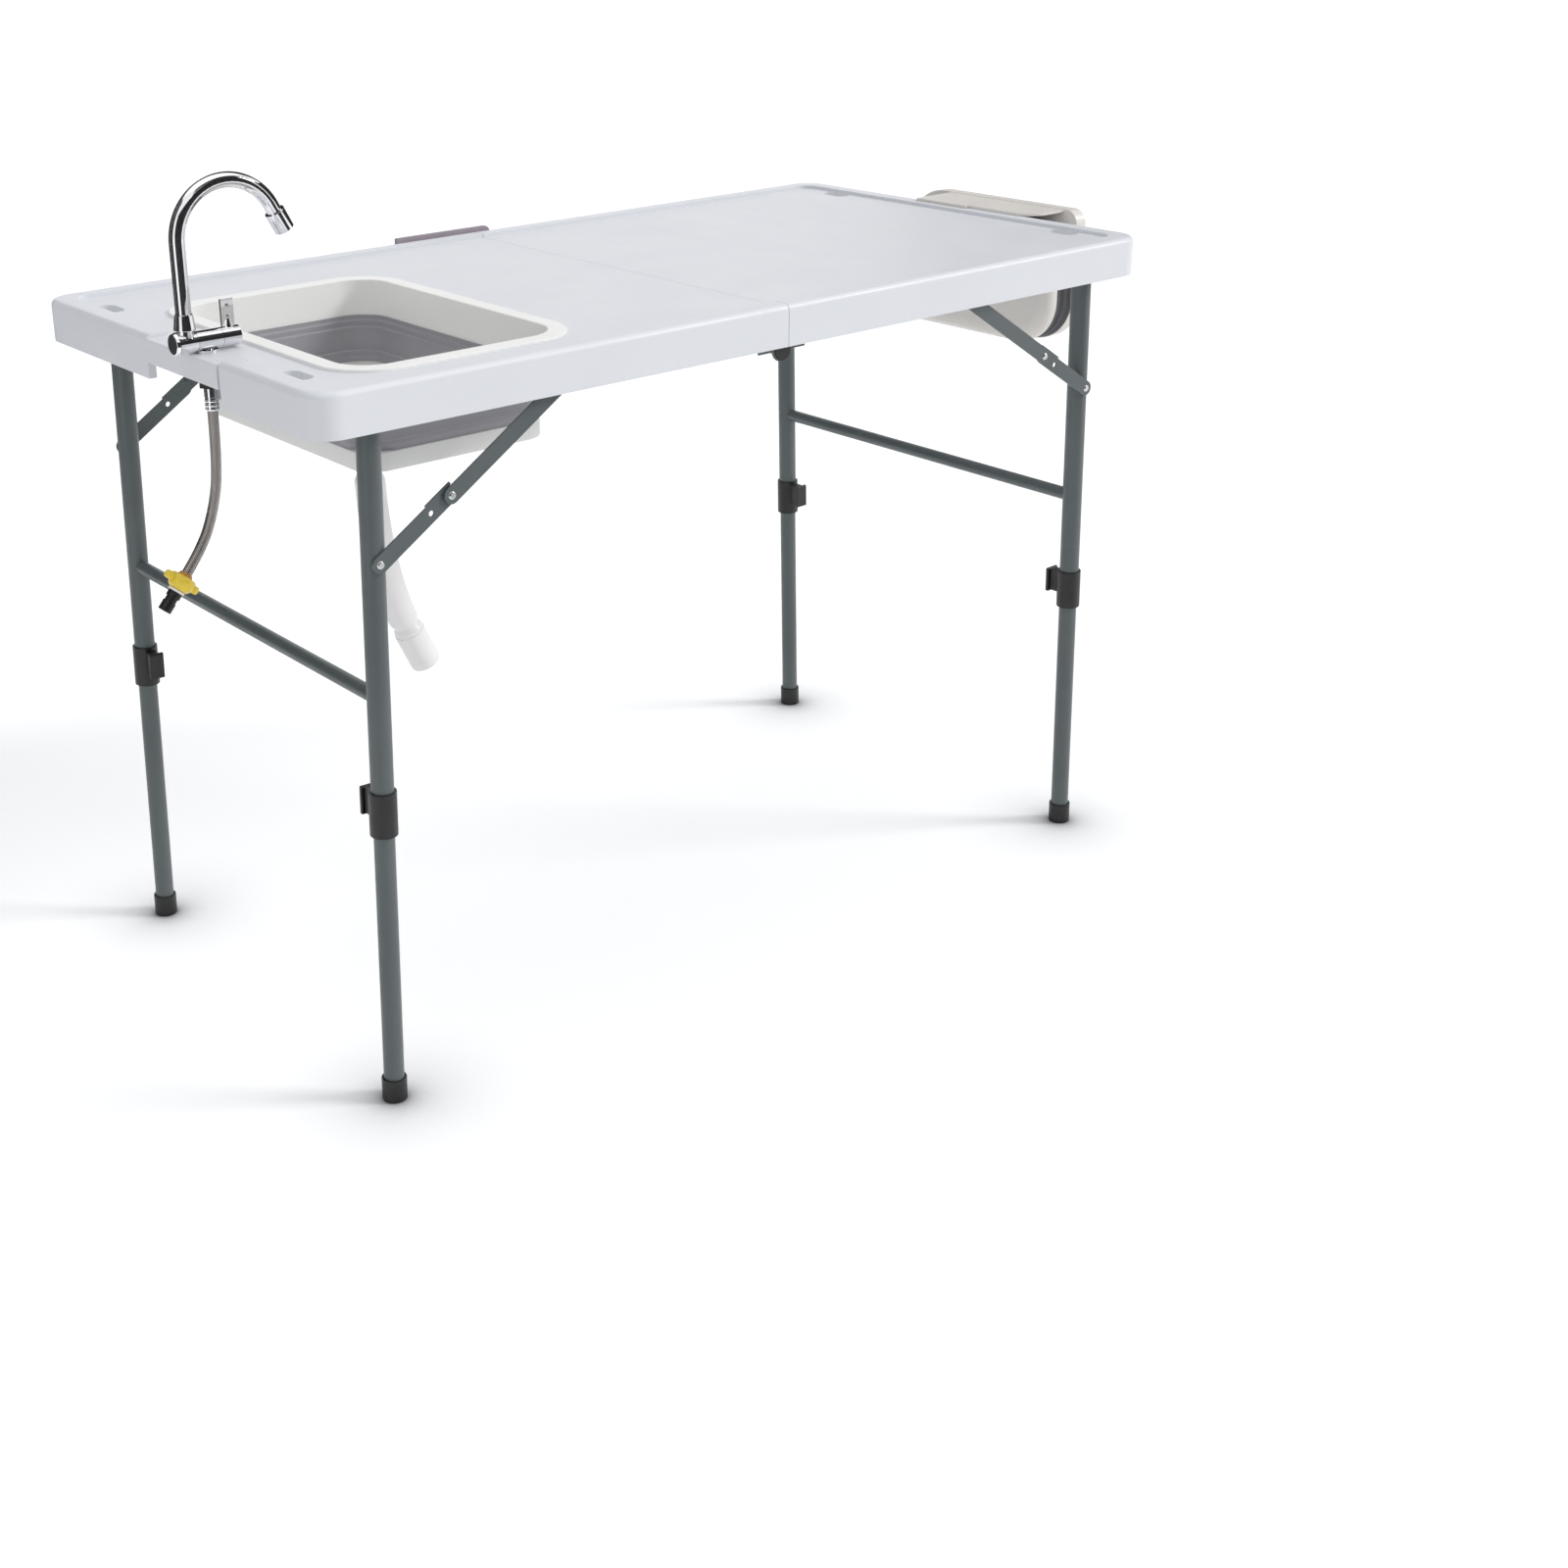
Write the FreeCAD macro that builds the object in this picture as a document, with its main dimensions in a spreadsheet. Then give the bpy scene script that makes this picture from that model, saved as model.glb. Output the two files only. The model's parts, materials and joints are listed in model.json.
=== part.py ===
import FreeCAD, Part
import math
import os
import re
from Sketcher import Constraint

# Camping sink stand: a folding worktop in two halves on telescoping leg frames, with a
# collapsible sink, a folding tap, a drain hose and a second basin hung on the plain end.
# The worktop's centre lies over the origin before the shift; +X runs to the plain end,
# the long side at -Y is the front, and the feet stand at zero height. Millimetres.

doc = FreeCAD.newDocument("camping_sink_stand")
sheet = doc.addObject("Spreadsheet::Sheet", "dims")

SIZES = {
    "table_length": 1160, "table_width": 600, "table_height": 780, "skirt_depth": 46,
    "skirt_wall": 8.7,
    "deck_thickness": 16, "rim_width": 25, "field_recess": 4, "corner_radius": 32, "seam_radius": 2,
    "half_gap": 0.4,
    "rim_rounding": 7, "overrun": 2, "weld": 1,
    "slot_inset": 38, "slot_edge": 96, "slot_length": 42, "slot_width": 22,
    "notch_half": 130, "notch_rise": 11, "notch_radius": 8,
    "pocket_length": 30, "pocket_width": 10, "pocket_depth": 4, "pocket_margin": 60,
    "panel_recess": 5, "panel_margin": 46, "panel_length": 150, "panel_radius": 12, "boss_radius_out": 42,
    "boss_groove": 8, "boss_depth": 5, "left_panel_length": 118,
    "scallop_length": 14, "scallop_depth": 3, "scallop_rise": 5, "scallop_margin": 70,
    "sink_inset": 67, "sink_length": 285, "sink_width": 420, "sink_corner": 60, "sink_flange": 16,
    "sink_offset": 42,
    "flange_thickness": 3,
    "sink_play": 1, "sink_wall": 3, "collar_depth": 38, "soft_depth": 50, "base_depth": 20,
    "sink_taper": 14, "soft_wall": 2.4,
    "wall_inset": 2, "ring_swell": 2.5,
    "drain_inset": 163, "drain_radius": 15, "drain_flange": 26, "drain_stub": 20, "hose_radius": 17,
    "plug_lip": 3,
    "pad_near": 63, "pad_far": 95, "pad_depth": 42, "pad_block": 13, "slit_width": 5, "slit_run": 34,
    "hook_inset": 12, "hook_offset": 28, "hook_width": 90, "hook_thickness": 3, "hook_play": 1,
    "hook_side_play": 2,
    "rail_play": 1.5, "rail_gauge": 1.8, "rail_seat": 0.2, "rail_height": 24, "rail_shelf": 5,
    "rail_inset": 35, "rail_start": 14,
    "hinge_drop": 10, "lobe_radius": 12, "lobe_reach": 34, "tie_radius": 6, "disc_radius": 11,
    "disc_thickness": 1,
    "running_gap": 0.06, "inner_leg_radius": 11, "tube_wall": 0.94, "pivot_inset": 74.5,
    "pivot_drop": 32, "leg_splay": 18.9,
    "pivot_radius": 8, "pivot_stand": 0.6, "leg_head": 8, "collar_low": 308, "collar_high": 356,
    "collar_wall": 2.6,
    "collar_seat": 4, "leg_overlap": 92, "cross_height": 456, "cross_radius": 8,
    "foot_height": 26, "foot_wall": 2.5, "foot_sole": 3,
    "ear_reach": 26, "ear_width": 12, "ear_height": 28, "ear_inset": 4, "lever_thickness": 5,
    "lever_width": 18, "lever_length": 34,
    "brace_low": 150, "knuckle_run": 99.05, "brace_reach": 226.5, "strap_width": 18, "strap_gauge": 2,
    "strap_gap": 0.4,
    "strap_room": 1.7, "rivet_room": 0.3, "rivet_radius": 3, "rivet_head": 4.6, "rivet_dome": 1.6,
    "rivet_cap": 1,
    "strap_hole": 3, "hole_run": 27, "stop_tab": 7, "tab_rise": 2,
    "clip_inset": 43, "clip_width": 14, "clip_wall": 2.6, "claw_drop": 21, "claw_play": 0.2,
    "holder_inset": 335, "holder_pitch": 70, "holder_spread": 60, "holder_radius": 9, "holder_post": 12,
    "handle_start": 45, "handle_length": 145, "handle_inset": 40, "handle_width": 14,
    "handle_drop": 24, "handle_bar": 8,
    "handle_foot": 16, "handle_radius": 6,
    "bar_start": 28, "bar_length": 140, "bar_drop": 11, "bar_rise": 5, "bar_thickness": 6,
    "tap_offset": 55, "barrel_rise": 12, "barrel_radius": 10.5, "tap_overhang": 12,
    "head_length": 20.4, "body_length": 27.6,
    "hub_length": 20, "cap_lip": 1.7, "cap_thickness": 4, "joint_gap": 0.3,
    "shank_inset": 21, "shank_radius": 7, "shank_drop": 21, "shank_play": 0.6, "plate_radius": 12,
    "plate_thickness": 3,
    "nut_radius": 12, "nut_height": 11, "riser_inset": 11, "boss_radius": 9.5, "boss_rise": 13,
    "cone_rise": 16,
    "cone_low_radius": 11.4, "cone_high_radius": 9.2, "spout_radius": 8, "spout_wall": 1.8,
    "spout_rise": 98,
    "arc_radius": 56, "arc_share": 0.8444, "tip_run": 8, "aerator_radius": 10.6, "aerator_length": 22,
    "paddle_rise": 38, "paddle_width": 14, "paddle_gauge": 3, "paddle_root": 7,
    "ferrule_radius": 6.6, "ferrule_length": 14, "braid_radius": 5.5,
    "ring_radius": 11, "ring_length": 14, "ring_bore": 6, "ear_out": 15.5, "ear_radius": 5.5,
    "ear_length": 9, "ear_web": 6,
    "coupler_radius": 7.6, "coupler_length": 25, "coupler_bore": 4.5, "waist_radius": 6.2,
         "waist_start": 9,
    "waist_length": 5, "mouth_radius": 7.1,
    "cuff_step": 1, "cuff_length": 48, "cuff_wall": 2,
    "basin_gap": 2.4, "basin_half": 146, "basin_rise": 4, "rim_height": 174, "lip_low": 1,
    "lip_high": 16, "lip_side": 2,
    "basin_corner": 60, "basin_floor": 3, "basin_tray": 24, "basin_soft": 27, "basin_wall": 2.6,
    "basin_rim": 17,
    "rim_corner": 18, "basin_fold": 1.5, "basin_round": 18,
    "apron_reach": 8, "apron_front": 125, "apron_back": 60, "apron_corner": 30,
    "lip_round": 1.4,
}
for row, (alias, number) in enumerate(SIZES.items(), 1):
    sheet.set("A%d" % row, alias)
    sheet.set("B%d" % row, str(number))
    sheet.setAlias("B%d" % row, alias)
doc.recompute()

# Counts, and shares of the sizes that they follow.
ring_count = 3
basin_ring_count = 3
pocket_columns, pocket_rows = 4, 3
scallop_count = 6
slim_share = 0.49
edge_share = 0.3
mouth_share = 0.72
run_share = 0.45
pocket_span_shares = (0.1, 0.9)

# Places worked out from the sizes above; each may use the ones before it.
PLACES = {
    "end_x": "table_length / 2",
    "side_y": "table_width / 2",
    "skirt_low": "table_height - skirt_depth",
    "deck_low": "table_height - deck_thickness",
    "field_top": "table_height - field_recess",
    "above": "table_height + overrun",
    "below": "skirt_low - overrun",
    "inner_x": "end_x - skirt_wall",
    "inner_y": "side_y - skirt_wall",
    "slot_x": "end_x - slot_inset",
    "slot_y": "side_y - slot_edge",
    "sink_left": "sink_inset - end_x",
    "sink_right": "sink_left + sink_length",
    "sink_front": "-sink_width / 2 - sink_offset",
    "sink_back": "sink_width / 2 - sink_offset",
    "drain_x": "sink_left + drain_inset",
    "tap_y": "-tap_offset",
    "pad_front": "tap_y - pad_near",
    "pad_back": "tap_y + pad_far",
    "pad_bottom": "deck_low - pad_block",
    "hook_x": "end_x - hook_inset",
    "rail_face": "inner_y - rail_play - rail_gauge",
    "rail_back": "rail_face + rail_gauge",
    "rail_high": "deck_low - rail_gauge - rail_seat",
    "rail_low": "rail_high - rail_height",
    "rail_end": "end_x - rail_inset",
    "hinge_height": "rail_low - hinge_drop",
    "pivot_x": "end_x - pivot_inset",
    "pivot_height": "table_height - pivot_drop",
    "pivot_end": "rail_back + pivot_stand",
    "leg_run": "sqrt(pivot_height ^ 2 + leg_splay ^ 2)",
    "lean": "atan(leg_splay / pivot_height)",
    "leg_bore": "inner_leg_radius + running_gap",
    "leg_radius": "leg_bore + tube_wall",
    "strap_play": "rivet_dome + rivet_room",
    "leg_y": "rail_face - strap_room - strap_gauge * 2 - strap_play - strap_gap - leg_radius",
    "strap_in": "leg_y + leg_radius + strap_gap",
    "strap_mid": "strap_in + strap_gauge + strap_play",
    "brace_top": "pivot_x - brace_reach",
    "clip_y": "leg_y - clip_inset",
    "claw_radius": "cross_radius + claw_play",
    "handle_y": "rail_face - handle_inset",
    "handle_left": "-handle_start - handle_length",
    "handle_low": "deck_low - handle_drop",
    "barrel_height": "field_top + barrel_rise",
    "head_left": "-(end_x + tap_overhang)",
    "head_right": "head_left + head_length",
    "body_right": "head_right + body_length",
    "hub_right": "body_right + hub_length",
    "cap_radius": "barrel_radius + cap_lip",
    "shank_x": "shank_inset - end_x",
    "shank_low": "pad_bottom - shank_drop",
    "riser_x": "head_left + riser_inset",
    "boss_top": "barrel_height + boss_rise",
    "cone_top": "boss_top + cone_rise",
    "spout_bore": "spout_radius - spout_wall",
    "arc_height": "barrel_height + spout_rise",
    "paddle_top": "barrel_height + paddle_rise",
    "basin_near": "end_x + basin_gap",
    "tray_far": "basin_near + basin_tray",
    "soft_far": "tray_far + basin_soft",
    "rim_far": "soft_far + basin_rim",
    "rim_high": "table_height + basin_rise",
    "rim_low": "rim_high - rim_height",
    "basin_low": "rim_low + lip_low",
    "basin_high": "rim_high - lip_high",
    "sink_fit": "sink_flange + sink_play",
    "base_inset": "sink_fit + sink_taper",
    "collar_end": "field_top - collar_depth",
    "soft_end": "collar_end - soft_depth",
    "base_end": "soft_end - base_depth",
    "shift_x": "-(head_left - cap_thickness + rim_far) / 2",
    "shift_y": "-bar_thickness / 2",
}


def pattern(names):
    return re.compile(r"\b(%s)\b" % "|".join(sorted(names, key=len, reverse=True)))


MEANING = {}
for place, rule in PLACES.items():
    MEANING[place] = "(%s)" % (pattern(MEANING).sub(lambda m: MEANING[m.group()],
                                                    rule) if MEANING else rule)
PLACE_WORDS = pattern(MEANING)
SHEET_WORDS = pattern(SIZES)
X, Y, Z = (FreeCAD.Vector(*v) for v in ((1, 0, 0), (0, 1, 0), (0, 0, 1)))
TURNS = {"x": (Y, 90), "y": (X, -90), "z": (Z, 0)}


def words(text):
    """The expression with each place worked out and each size read from the sheet."""
    text = PLACE_WORDS.sub(lambda m: MEANING[m.group()], str(text))
    return SHEET_WORDS.sub(r"dims.\1", text)


def size(text):
    """The number that an expression has now."""
    found = sheet.evalExpression(words(text).replace("dims.", ""))
    return float(getattr(found, "Value", found))


def bind(item, path, text):
    item.setExpression(path, words(text))


def seat(item, at=(0, 0, 0), turn=None):
    """Places a sub-part in the shifted frame, at a point given in the worktop's frame."""
    if turn:
        item.Placement = FreeCAD.Placement(FreeCAD.Vector(), FreeCAD.Rotation(*turn))
    for axis, base, shift in zip("xyz", at, ("shift_x", "shift_y", "0")):
        bind(item, "Placement.Base." + axis, "(%s) + (%s)" % (base, shift))
    return item


# Primitive shapes whose sizes and places are expressions.
def block(name, x, y, z):
    item = doc.addObject("Part::Box", name)
    for side, axis, (low, high) in zip(("Length", "Width", "Height"), "xyz", (x, y, z)):
        bind(item, side, "(%s) - (%s)" % (high, low))
        bind(item, "Placement.Base." + axis, low)
    return item


def rod(name, axis, at, length, radius, end_radius=None):
    item = doc.addObject("Part::Cone" if end_radius else "Part::Cylinder", name)
    item.Placement = FreeCAD.Placement(FreeCAD.Vector(), FreeCAD.Rotation(*TURNS[axis]))
    bind(item, "Height", length)
    bind(item, "Radius1" if end_radius else "Radius", radius)
    if end_radius:
        bind(item, "Radius2", end_radius)
    for letter, base in zip("xyz", at):
        bind(item, "Placement.Base." + letter, base)
    return item


def fuse(name, *items):
    item = doc.addObject("Part::MultiFuse", name)
    item.Shapes = list(items)
    return item


def cut(name, base, *tools):
    item = doc.addObject("Part::Cut", name)
    item.Base = base
    item.Tool = tools[0] if len(tools) == 1 else fuse(name + "_tools", *tools)
    return item


def group(name, *items):
    item = doc.addObject("Part::Compound", name)
    item.Links = list(items)
    return item


def tube(name, axis, at, length, radius, bore):
    return cut(name, rod(name + "_skin", axis, at, length, radius),
               rod(name + "_bore", axis, at, length, bore))


def mirror(name, item, axis, base="0"):
    """The item on the other side of a plane across an axis."""
    other = doc.addObject("Part::Mirroring", name)
    other.Source = item
    other.Normal = {"x": X, "y": Y}[axis]
    bind(other, "Base." + axis, base)
    return other


def pair(name, item):
    """The item, given on the back side, with its twin on the front."""
    return group(name, item, mirror(name + "_front", item, "y"))


# Bodies made of sketches and features.
def sketch(body, name, role, offset="0"):
    item = body.newObject("Sketcher::SketchObject", name)
    item.AttachmentSupport = ([f for f in body.Origin.OriginFeatures if f.Role == role][0], [""])
    item.MapMode = "FlatFace"
    bind(item, "AttachmentOffset.Base.z", offset)
    return item


def drive(item, kind, places, text):
    """Adds a driving dimension bound to an expression."""
    index = item.addConstraint(Constraint(kind, *places, size(text)))
    bind(item, "Constraints[%d]" % index, text)


def rounded(item, x, y, radii):
    """A rectangle with round corners, drawn as four lines and four arcs with driving dimensions."""
    first = item.GeometryCount
    lo, hi = [size(x[0]), size(y[0])], [size(x[1]), size(y[1])]
    radii = radii if isinstance(radii, (list, tuple)) else [radii] * 4
    rounds = [size(r) for r in radii]
    corners = [(lo[0], lo[1], 1, 1, 180), (hi[0], lo[1], -1, 1, 270), (hi[0], hi[1], -1, -1, 0),
               (lo[0], hi[1], 1, -1, 90)]
    arcs = []
    for (corner_x, corner_y, way_x, way_y, start), radius in zip(corners, rounds):
        centre = FreeCAD.Vector(corner_x + way_x * radius, corner_y + way_y * radius, 0)
        begin = math.radians(start)
        arcs.append(Part.ArcOfCircle(Part.Circle(centre, Z, radius), begin, begin + math.pi / 2))
    for n in range(4):
        item.addGeometry(arcs[n])
        item.addGeometry(Part.LineSegment(arcs[n].EndPoint, arcs[(n + 1) % 4].StartPoint))
    for n in range(4):
        arc, line, after = first + 2 * n, first + 2 * n + 1, first + (2 * n + 2) % 8
        item.addConstraint(Constraint("Tangent", arc, 2, line, 1))
        item.addConstraint(Constraint("Tangent", line, 2, after, 1))
        item.addConstraint(Constraint("Horizontal" if n % 2 == 0 else "Vertical", line))
        drive(item, "Radius", (arc,), radii[n])
    for kind, line, text in (("DistanceY", first + 1, y[0]), ("DistanceX", first + 3, x[1]),
                             ("DistanceY", first + 5, y[1]), ("DistanceX", first + 7, x[0])):
        drive(item, kind, (-1, 1, line, 1), text)
    return item


def ring(item, x, y, *radii):
    """Circles about one centre with driving dimensions."""
    for radius in radii:
        circle = item.addGeometry(Part.Circle(FreeCAD.Vector(size(x), size(y), 0), Z, size(radius)))
        drive(item, "Radius", (circle,), radius)
        drive(item, "DistanceX", (-1, 1, circle, 3), x)
        drive(item, "DistanceY", (-1, 1, circle, 3), y)
    return item


def feature(body, kind, name, profile, length):
    item = body.newObject("PartDesign::" + kind, name)
    item.Profile = profile
    bind(item, "Length", length)
    item.Reversed = kind == "Pocket"
    return item


def plate(body, name, x, y, radii, low, high, kind="Pad"):
    """A pad or pocket with a round-cornered outline between two heights."""
    outline = rounded(sketch(body, name + "_outline", "XY_Plane", low), x, y, radii)
    return feature(body, kind, name, outline, "(%s) - (%s)" % (high, low))


def drill(body, name, x, y, radii, low, high):
    """A round or ring-shaped pocket between two heights."""
    outline = ring(sketch(body, name + "_outline", "XY_Plane", low), x, y, *radii)
    return feature(body, "Pocket", name, outline, "(%s) - (%s)" % (high, low))


def fillet(body, name, radius, wanted):
    """Rounds the edges of the tip that the test wants."""
    doc.recompute()
    tip = body.Tip
    names = ["Edge%d" % n for n, edge in enumerate(tip.Shape.Edges, 1) if wanted(edge)]
    item = body.newObject("PartDesign::Fillet", name)
    item.Base = (tip, names)
    bind(item, "Radius", radius)
    return item


def between(low, high, share):
    """The place at a share of the way between two places."""
    return "((%s) + ((%s) - (%s)) * %g)" % (low, high, low, share)


def grid(body, name, single, outline, length, columns, width, rows):
    """Repeats a feature along both axes of its sketch, at even steps."""
    both = body.newObject("PartDesign::MultiTransform", name)
    both.Originals = [single]
    steps = []
    for axis, span, count in (("H_Axis", length, columns), ("V_Axis", width, rows)):
        step = body.newObject("PartDesign::LinearPattern", "%s_%s" % (name, axis[0].lower()))
        step.Direction = (outline, [axis])
        bind(step, "Length", span)
        step.Occurrences = count
        steps.append(step)
    both.Transformations = steps
    body.Tip = both
    return both


def pockets(body, name, x, y):
    """Rows of slim blind pockets in the underside of the deck, over a field given by its corners."""
    first_x, last_x = (between(*x, share) for share in pocket_span_shares)
    first_y, last_y = (between(*y, share) for share in pocket_span_shares)
    outline = rounded(sketch(body, name + "_outline", "XY_Plane", "deck_low - weld"),
                      (first_x + " - pocket_width / 2", first_x + " + pocket_width / 2"),
                      (first_y + " - pocket_length / 2", first_y + " + pocket_length / 2"),
                      "pocket_width * %g" % slim_share)
    single = feature(body, "Pocket", name + "_single", outline, "pocket_depth + weld")
    return grid(body, name, single, outline, "(%s) - (%s)" % (last_x, first_x), pocket_columns,
                "(%s) - (%s)" % (last_y, first_y), pocket_rows)


# The two halves of the blow-moulded worktop, each open below inside its skirt.
def scallops(body, name):
    """Small notches along the inner lower edge of both long skirts, at even steps."""
    sides = 1 if body is left_panel else -1
    first, last = ("scallop_margin - end_x", "-scallop_margin") if sides == 1 else ("scallop_margin",
            "end_x - scallop_margin")
    outline = rounded(sketch(body, name + "_outline", "XY_Plane", "below"),
                      (first, first + " + scallop_length"),
                      ("-inner_y - scallop_depth", "weld - inner_y"), "weld / 2")
    single = feature(body, "Pocket", name + "_single", outline, "overrun + scallop_rise")
    return grid(body, name, single, outline, "%s - scallop_length - (%s)" % (last, first), scallop_count,
                "inner_y * 2 + scallop_depth - weld", 2)


def worktop_half(name, left):
    def span(inner, out):
        return ("-(%s)" % out, "-(%s)" % inner) if left else (inner, out)

    def corners(big, small):
        return [big, small, small, big] if left else [small, big, big, small]

    body = doc.addObject("PartDesign::Body", name)
    plate(body, name + "_slab", span("-corner_radius * 3", "end_x"), ("-side_y", "side_y"),
          "corner_radius",
          "skirt_low", "table_height")
    fillet(body, name + "_rounding", "rim_rounding",
           lambda edge: edge.BoundBox.ZMin > size("table_height - half_gap"))
    plate(body, name + "_hollow", span("-corner_radius * 2", "inner_x"), ("-inner_y", "inner_y"),
          corners("corner_radius - skirt_wall", "seam_radius"), "below", "deck_low", "Pocket")
    plate(body, name + "_field", span("-corner_radius * 2", "end_x - rim_width"),
          ("rim_width - side_y", "side_y - rim_width"),
          corners("corner_radius - rim_width / 2", "seam_radius"), "field_top", "above", "Pocket")
    plate(body, name + "_seam", span("-corner_radius * 4", "half_gap"),
          ("-side_y - seam_radius * 2", "side_y + seam_radius * 2"),
          "seam_radius", "below", "above", "Pocket")
    for place, side in (("slot_y", "back"), ("-slot_y", "front")):
        plate(body, "%s_slot_%s" % (name, side),
              span("slot_x - slot_width / 2", "slot_x + slot_width / 2"),
              (place + " - slot_length / 2", place + " + slot_length / 2"),
              "slot_width * %g" % slim_share,
              "below", "above", "Pocket")
    return body


left_panel = worktop_half("left_panel", True)
hole = [("sink_left + sink_flange", "sink_right - sink_flange"),
        ("sink_front + sink_flange", "sink_back - sink_flange")]
plate(left_panel, "sink_hole", *hole, "sink_corner - sink_flange", "below", "above", "Pocket")
plate(left_panel, "tap_block", ("weld - end_x", "pad_depth - end_x"),
      ("pad_front + slit_width", "pad_back"), "seam_radius",
      "pad_bottom", "deck_low + weld")
edge = "-end_x - overrun * 2"
plate(left_panel, "end_step", (edge, "skirt_wall + weld - end_x"), ("pad_front", "pad_back"),
      "seam_radius",
      "below", "pad_bottom", "Pocket")
plate(left_panel, "tap_pad", (edge, "rim_width + seam_radius - end_x"),
      ("pad_front + slit_width", "pad_back"), "seam_radius",
      "field_top", "above", "Pocket")
plate(left_panel, "end_slit", (edge, "slit_run - end_x"), ("pad_front", "pad_front + slit_width"),
      "slit_width * %g" % slim_share, "below", "above", "Pocket")
drill(left_panel, "shank_hole", "shank_x", "tap_y", ["shank_radius + shank_play"], "below", "above")
plate(left_panel, "left_deck_panel", ("-panel_margin - left_panel_length", "-panel_margin"),
      ("panel_margin - inner_y", "inner_y - panel_margin"), "panel_radius", "deck_low - weld",
      "deck_low + panel_recess", "Pocket")
scallops(left_panel, "left_scallops")

right_panel = worktop_half("right_panel", False)
plate(right_panel, "hook_slot", ("hook_x - hook_thickness / 2 - hook_play",
                                 "hook_x + hook_thickness / 2 + hook_play"),
      ("hook_offset - hook_width / 2 - hook_side_play", "hook_offset + hook_width / 2 + hook_side_play"),
      "hook_thickness * %g" % slim_share, "below", "above", "Pocket")
notch = rounded(sketch(right_panel, "end_notch_outline", "YZ_Plane", "inner_x - weld"),
                ("-notch_half", "notch_half"),
                ("skirt_low - notch_rise * 2", "skirt_low + notch_rise"), "notch_radius")
feature(right_panel, "Pocket", "end_notch", notch, "skirt_wall + weld + overrun")
plate(right_panel, "deck_panel", ("panel_margin", "panel_margin + panel_length"),
      ("panel_margin - inner_y", "inner_y - panel_margin"),
      "panel_radius", "deck_low - weld", "deck_low + panel_recess", "Pocket")
drill(right_panel, "deck_boss", "holder_inset + holder_pitch / 2", "0",
      ["boss_radius_out", "boss_radius_out - boss_groove"],
      "deck_low - weld", "deck_low + boss_depth")
scallops(right_panel, "right_scallops")
pockets(right_panel, "right_pockets", ("panel_margin + panel_length", "pivot_x"),
        ("pocket_margin - side_y", "side_y - pocket_margin"))
for body in (left_panel, right_panel):
    seat(body)


# Side rails of folded sheet under the deck, with the lobes of the middle hinge at their ends.
def rail(name, end_lobe):
    through = ("rail_face - rail_gauge", "rail_gauge * 3")
    web = block(name + "_web", ("-rail_end", "-rail_start"), ("rail_face", "rail_back"),
                ("rail_low", "rail_high"))
    shelf = block(name + "_shelf", ("-rail_end", "-rail_start"), ("rail_face - rail_shelf", "rail_back"),
                  ("rail_high", "rail_high + rail_gauge"))
    low, high = ("rail_face", "rail_back") if end_lobe else ("rail_face - rail_gauge - rail_seat",
                                                             "rail_face")
    lobe = rod(name + "_lobe", "y", ("0", low, "hinge_height"), "(%s) - (%s)" % (high, low),
               "lobe_radius")
    neck = block(name + "_neck", ("-lobe_reach", "0"), (low, high),
                 ("hinge_height", "rail_high - rail_gauge"))
    tools = [rod(name + "_hole", "y", ("-pivot_x", through[0], "pivot_height"), through[1],
                 "pivot_radius + running_gap"),
             rod(name + "_brace_hole", "y", ("-brace_top", through[0], "pivot_height"), through[1],
                 "rivet_radius + running_gap")]
    if not end_lobe:
        tools.append(rod(name + "_eye", "y", ("0", "rail_face - rail_gauge * 3", "hinge_height"),
                         "rail_gauge * 6",
                         "tie_radius + running_gap"))
    return cut(name, fuse(name + "_solid", web, shelf, lobe, neck), *tools)


left_rails = seat(pair("left_rails", rail("left_rail", True)))
right_rails = seat(mirror("right_rails", pair("right_rails_drawn", rail("right_rail", False)), "x"))
centre_hinge_tube = seat(rod("centre_hinge_tube", "y", ("0", "0", "0"), "rail_face * 2", "tie_radius"),
                         ("0", "-rail_face", "hinge_height"), TURNS["y"])
centre_hinge_discs = seat(pair("centre_hinge_discs",
                               rod("hinge_disc", "y", ("0", "rail_back", "hinge_height"),
                                                         "disc_thickness", "disc_radius")))

# Leg frames, drawn upright about the pivot line and leaned out by the splay.
LEAN = FreeCAD.Rotation(Y, size("lean"))


def frame_piece(name, item, turn=LEAN, y="shift_y"):
    """Seats a piece of the left frame and returns it with its twin in the right frame."""
    item.Placement = FreeCAD.Placement(FreeCAD.Vector(), turn)
    for axis, base in zip("xyz", ("shift_x - pivot_x", y, "pivot_height")):
        bind(item, "Placement.Base." + axis, base)
    return item, mirror("right_" + name, item, "x", "shift_x")


pivot_tube = frame_piece("pivot_tube", rod("left_pivot_tube", "y", ("0", "0", "0"), "pivot_end * 2",
                                           "pivot_radius"),
                         LEAN.multiply(FreeCAD.Rotation(X, -90)), "shift_y - pivot_end")

leg_low = "(collar_low + collar_seat - pivot_height)"
upper_leg = cut("upper_leg", rod("upper_leg_skin", "z", ("0", "leg_y", leg_low),
                                 "leg_head - %s" % leg_low, "leg_radius"),
                rod("upper_leg_bore", "z", ("0", "leg_y", leg_low), "-leg_radius - %s" % leg_low,
                    "leg_bore"),
                rod("upper_leg_saddle", "y", ("0", "0", "0"), "side_y", "pivot_radius"))
upper_legs = frame_piece("upper_legs", pair("left_upper_legs", upper_leg))

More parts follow.
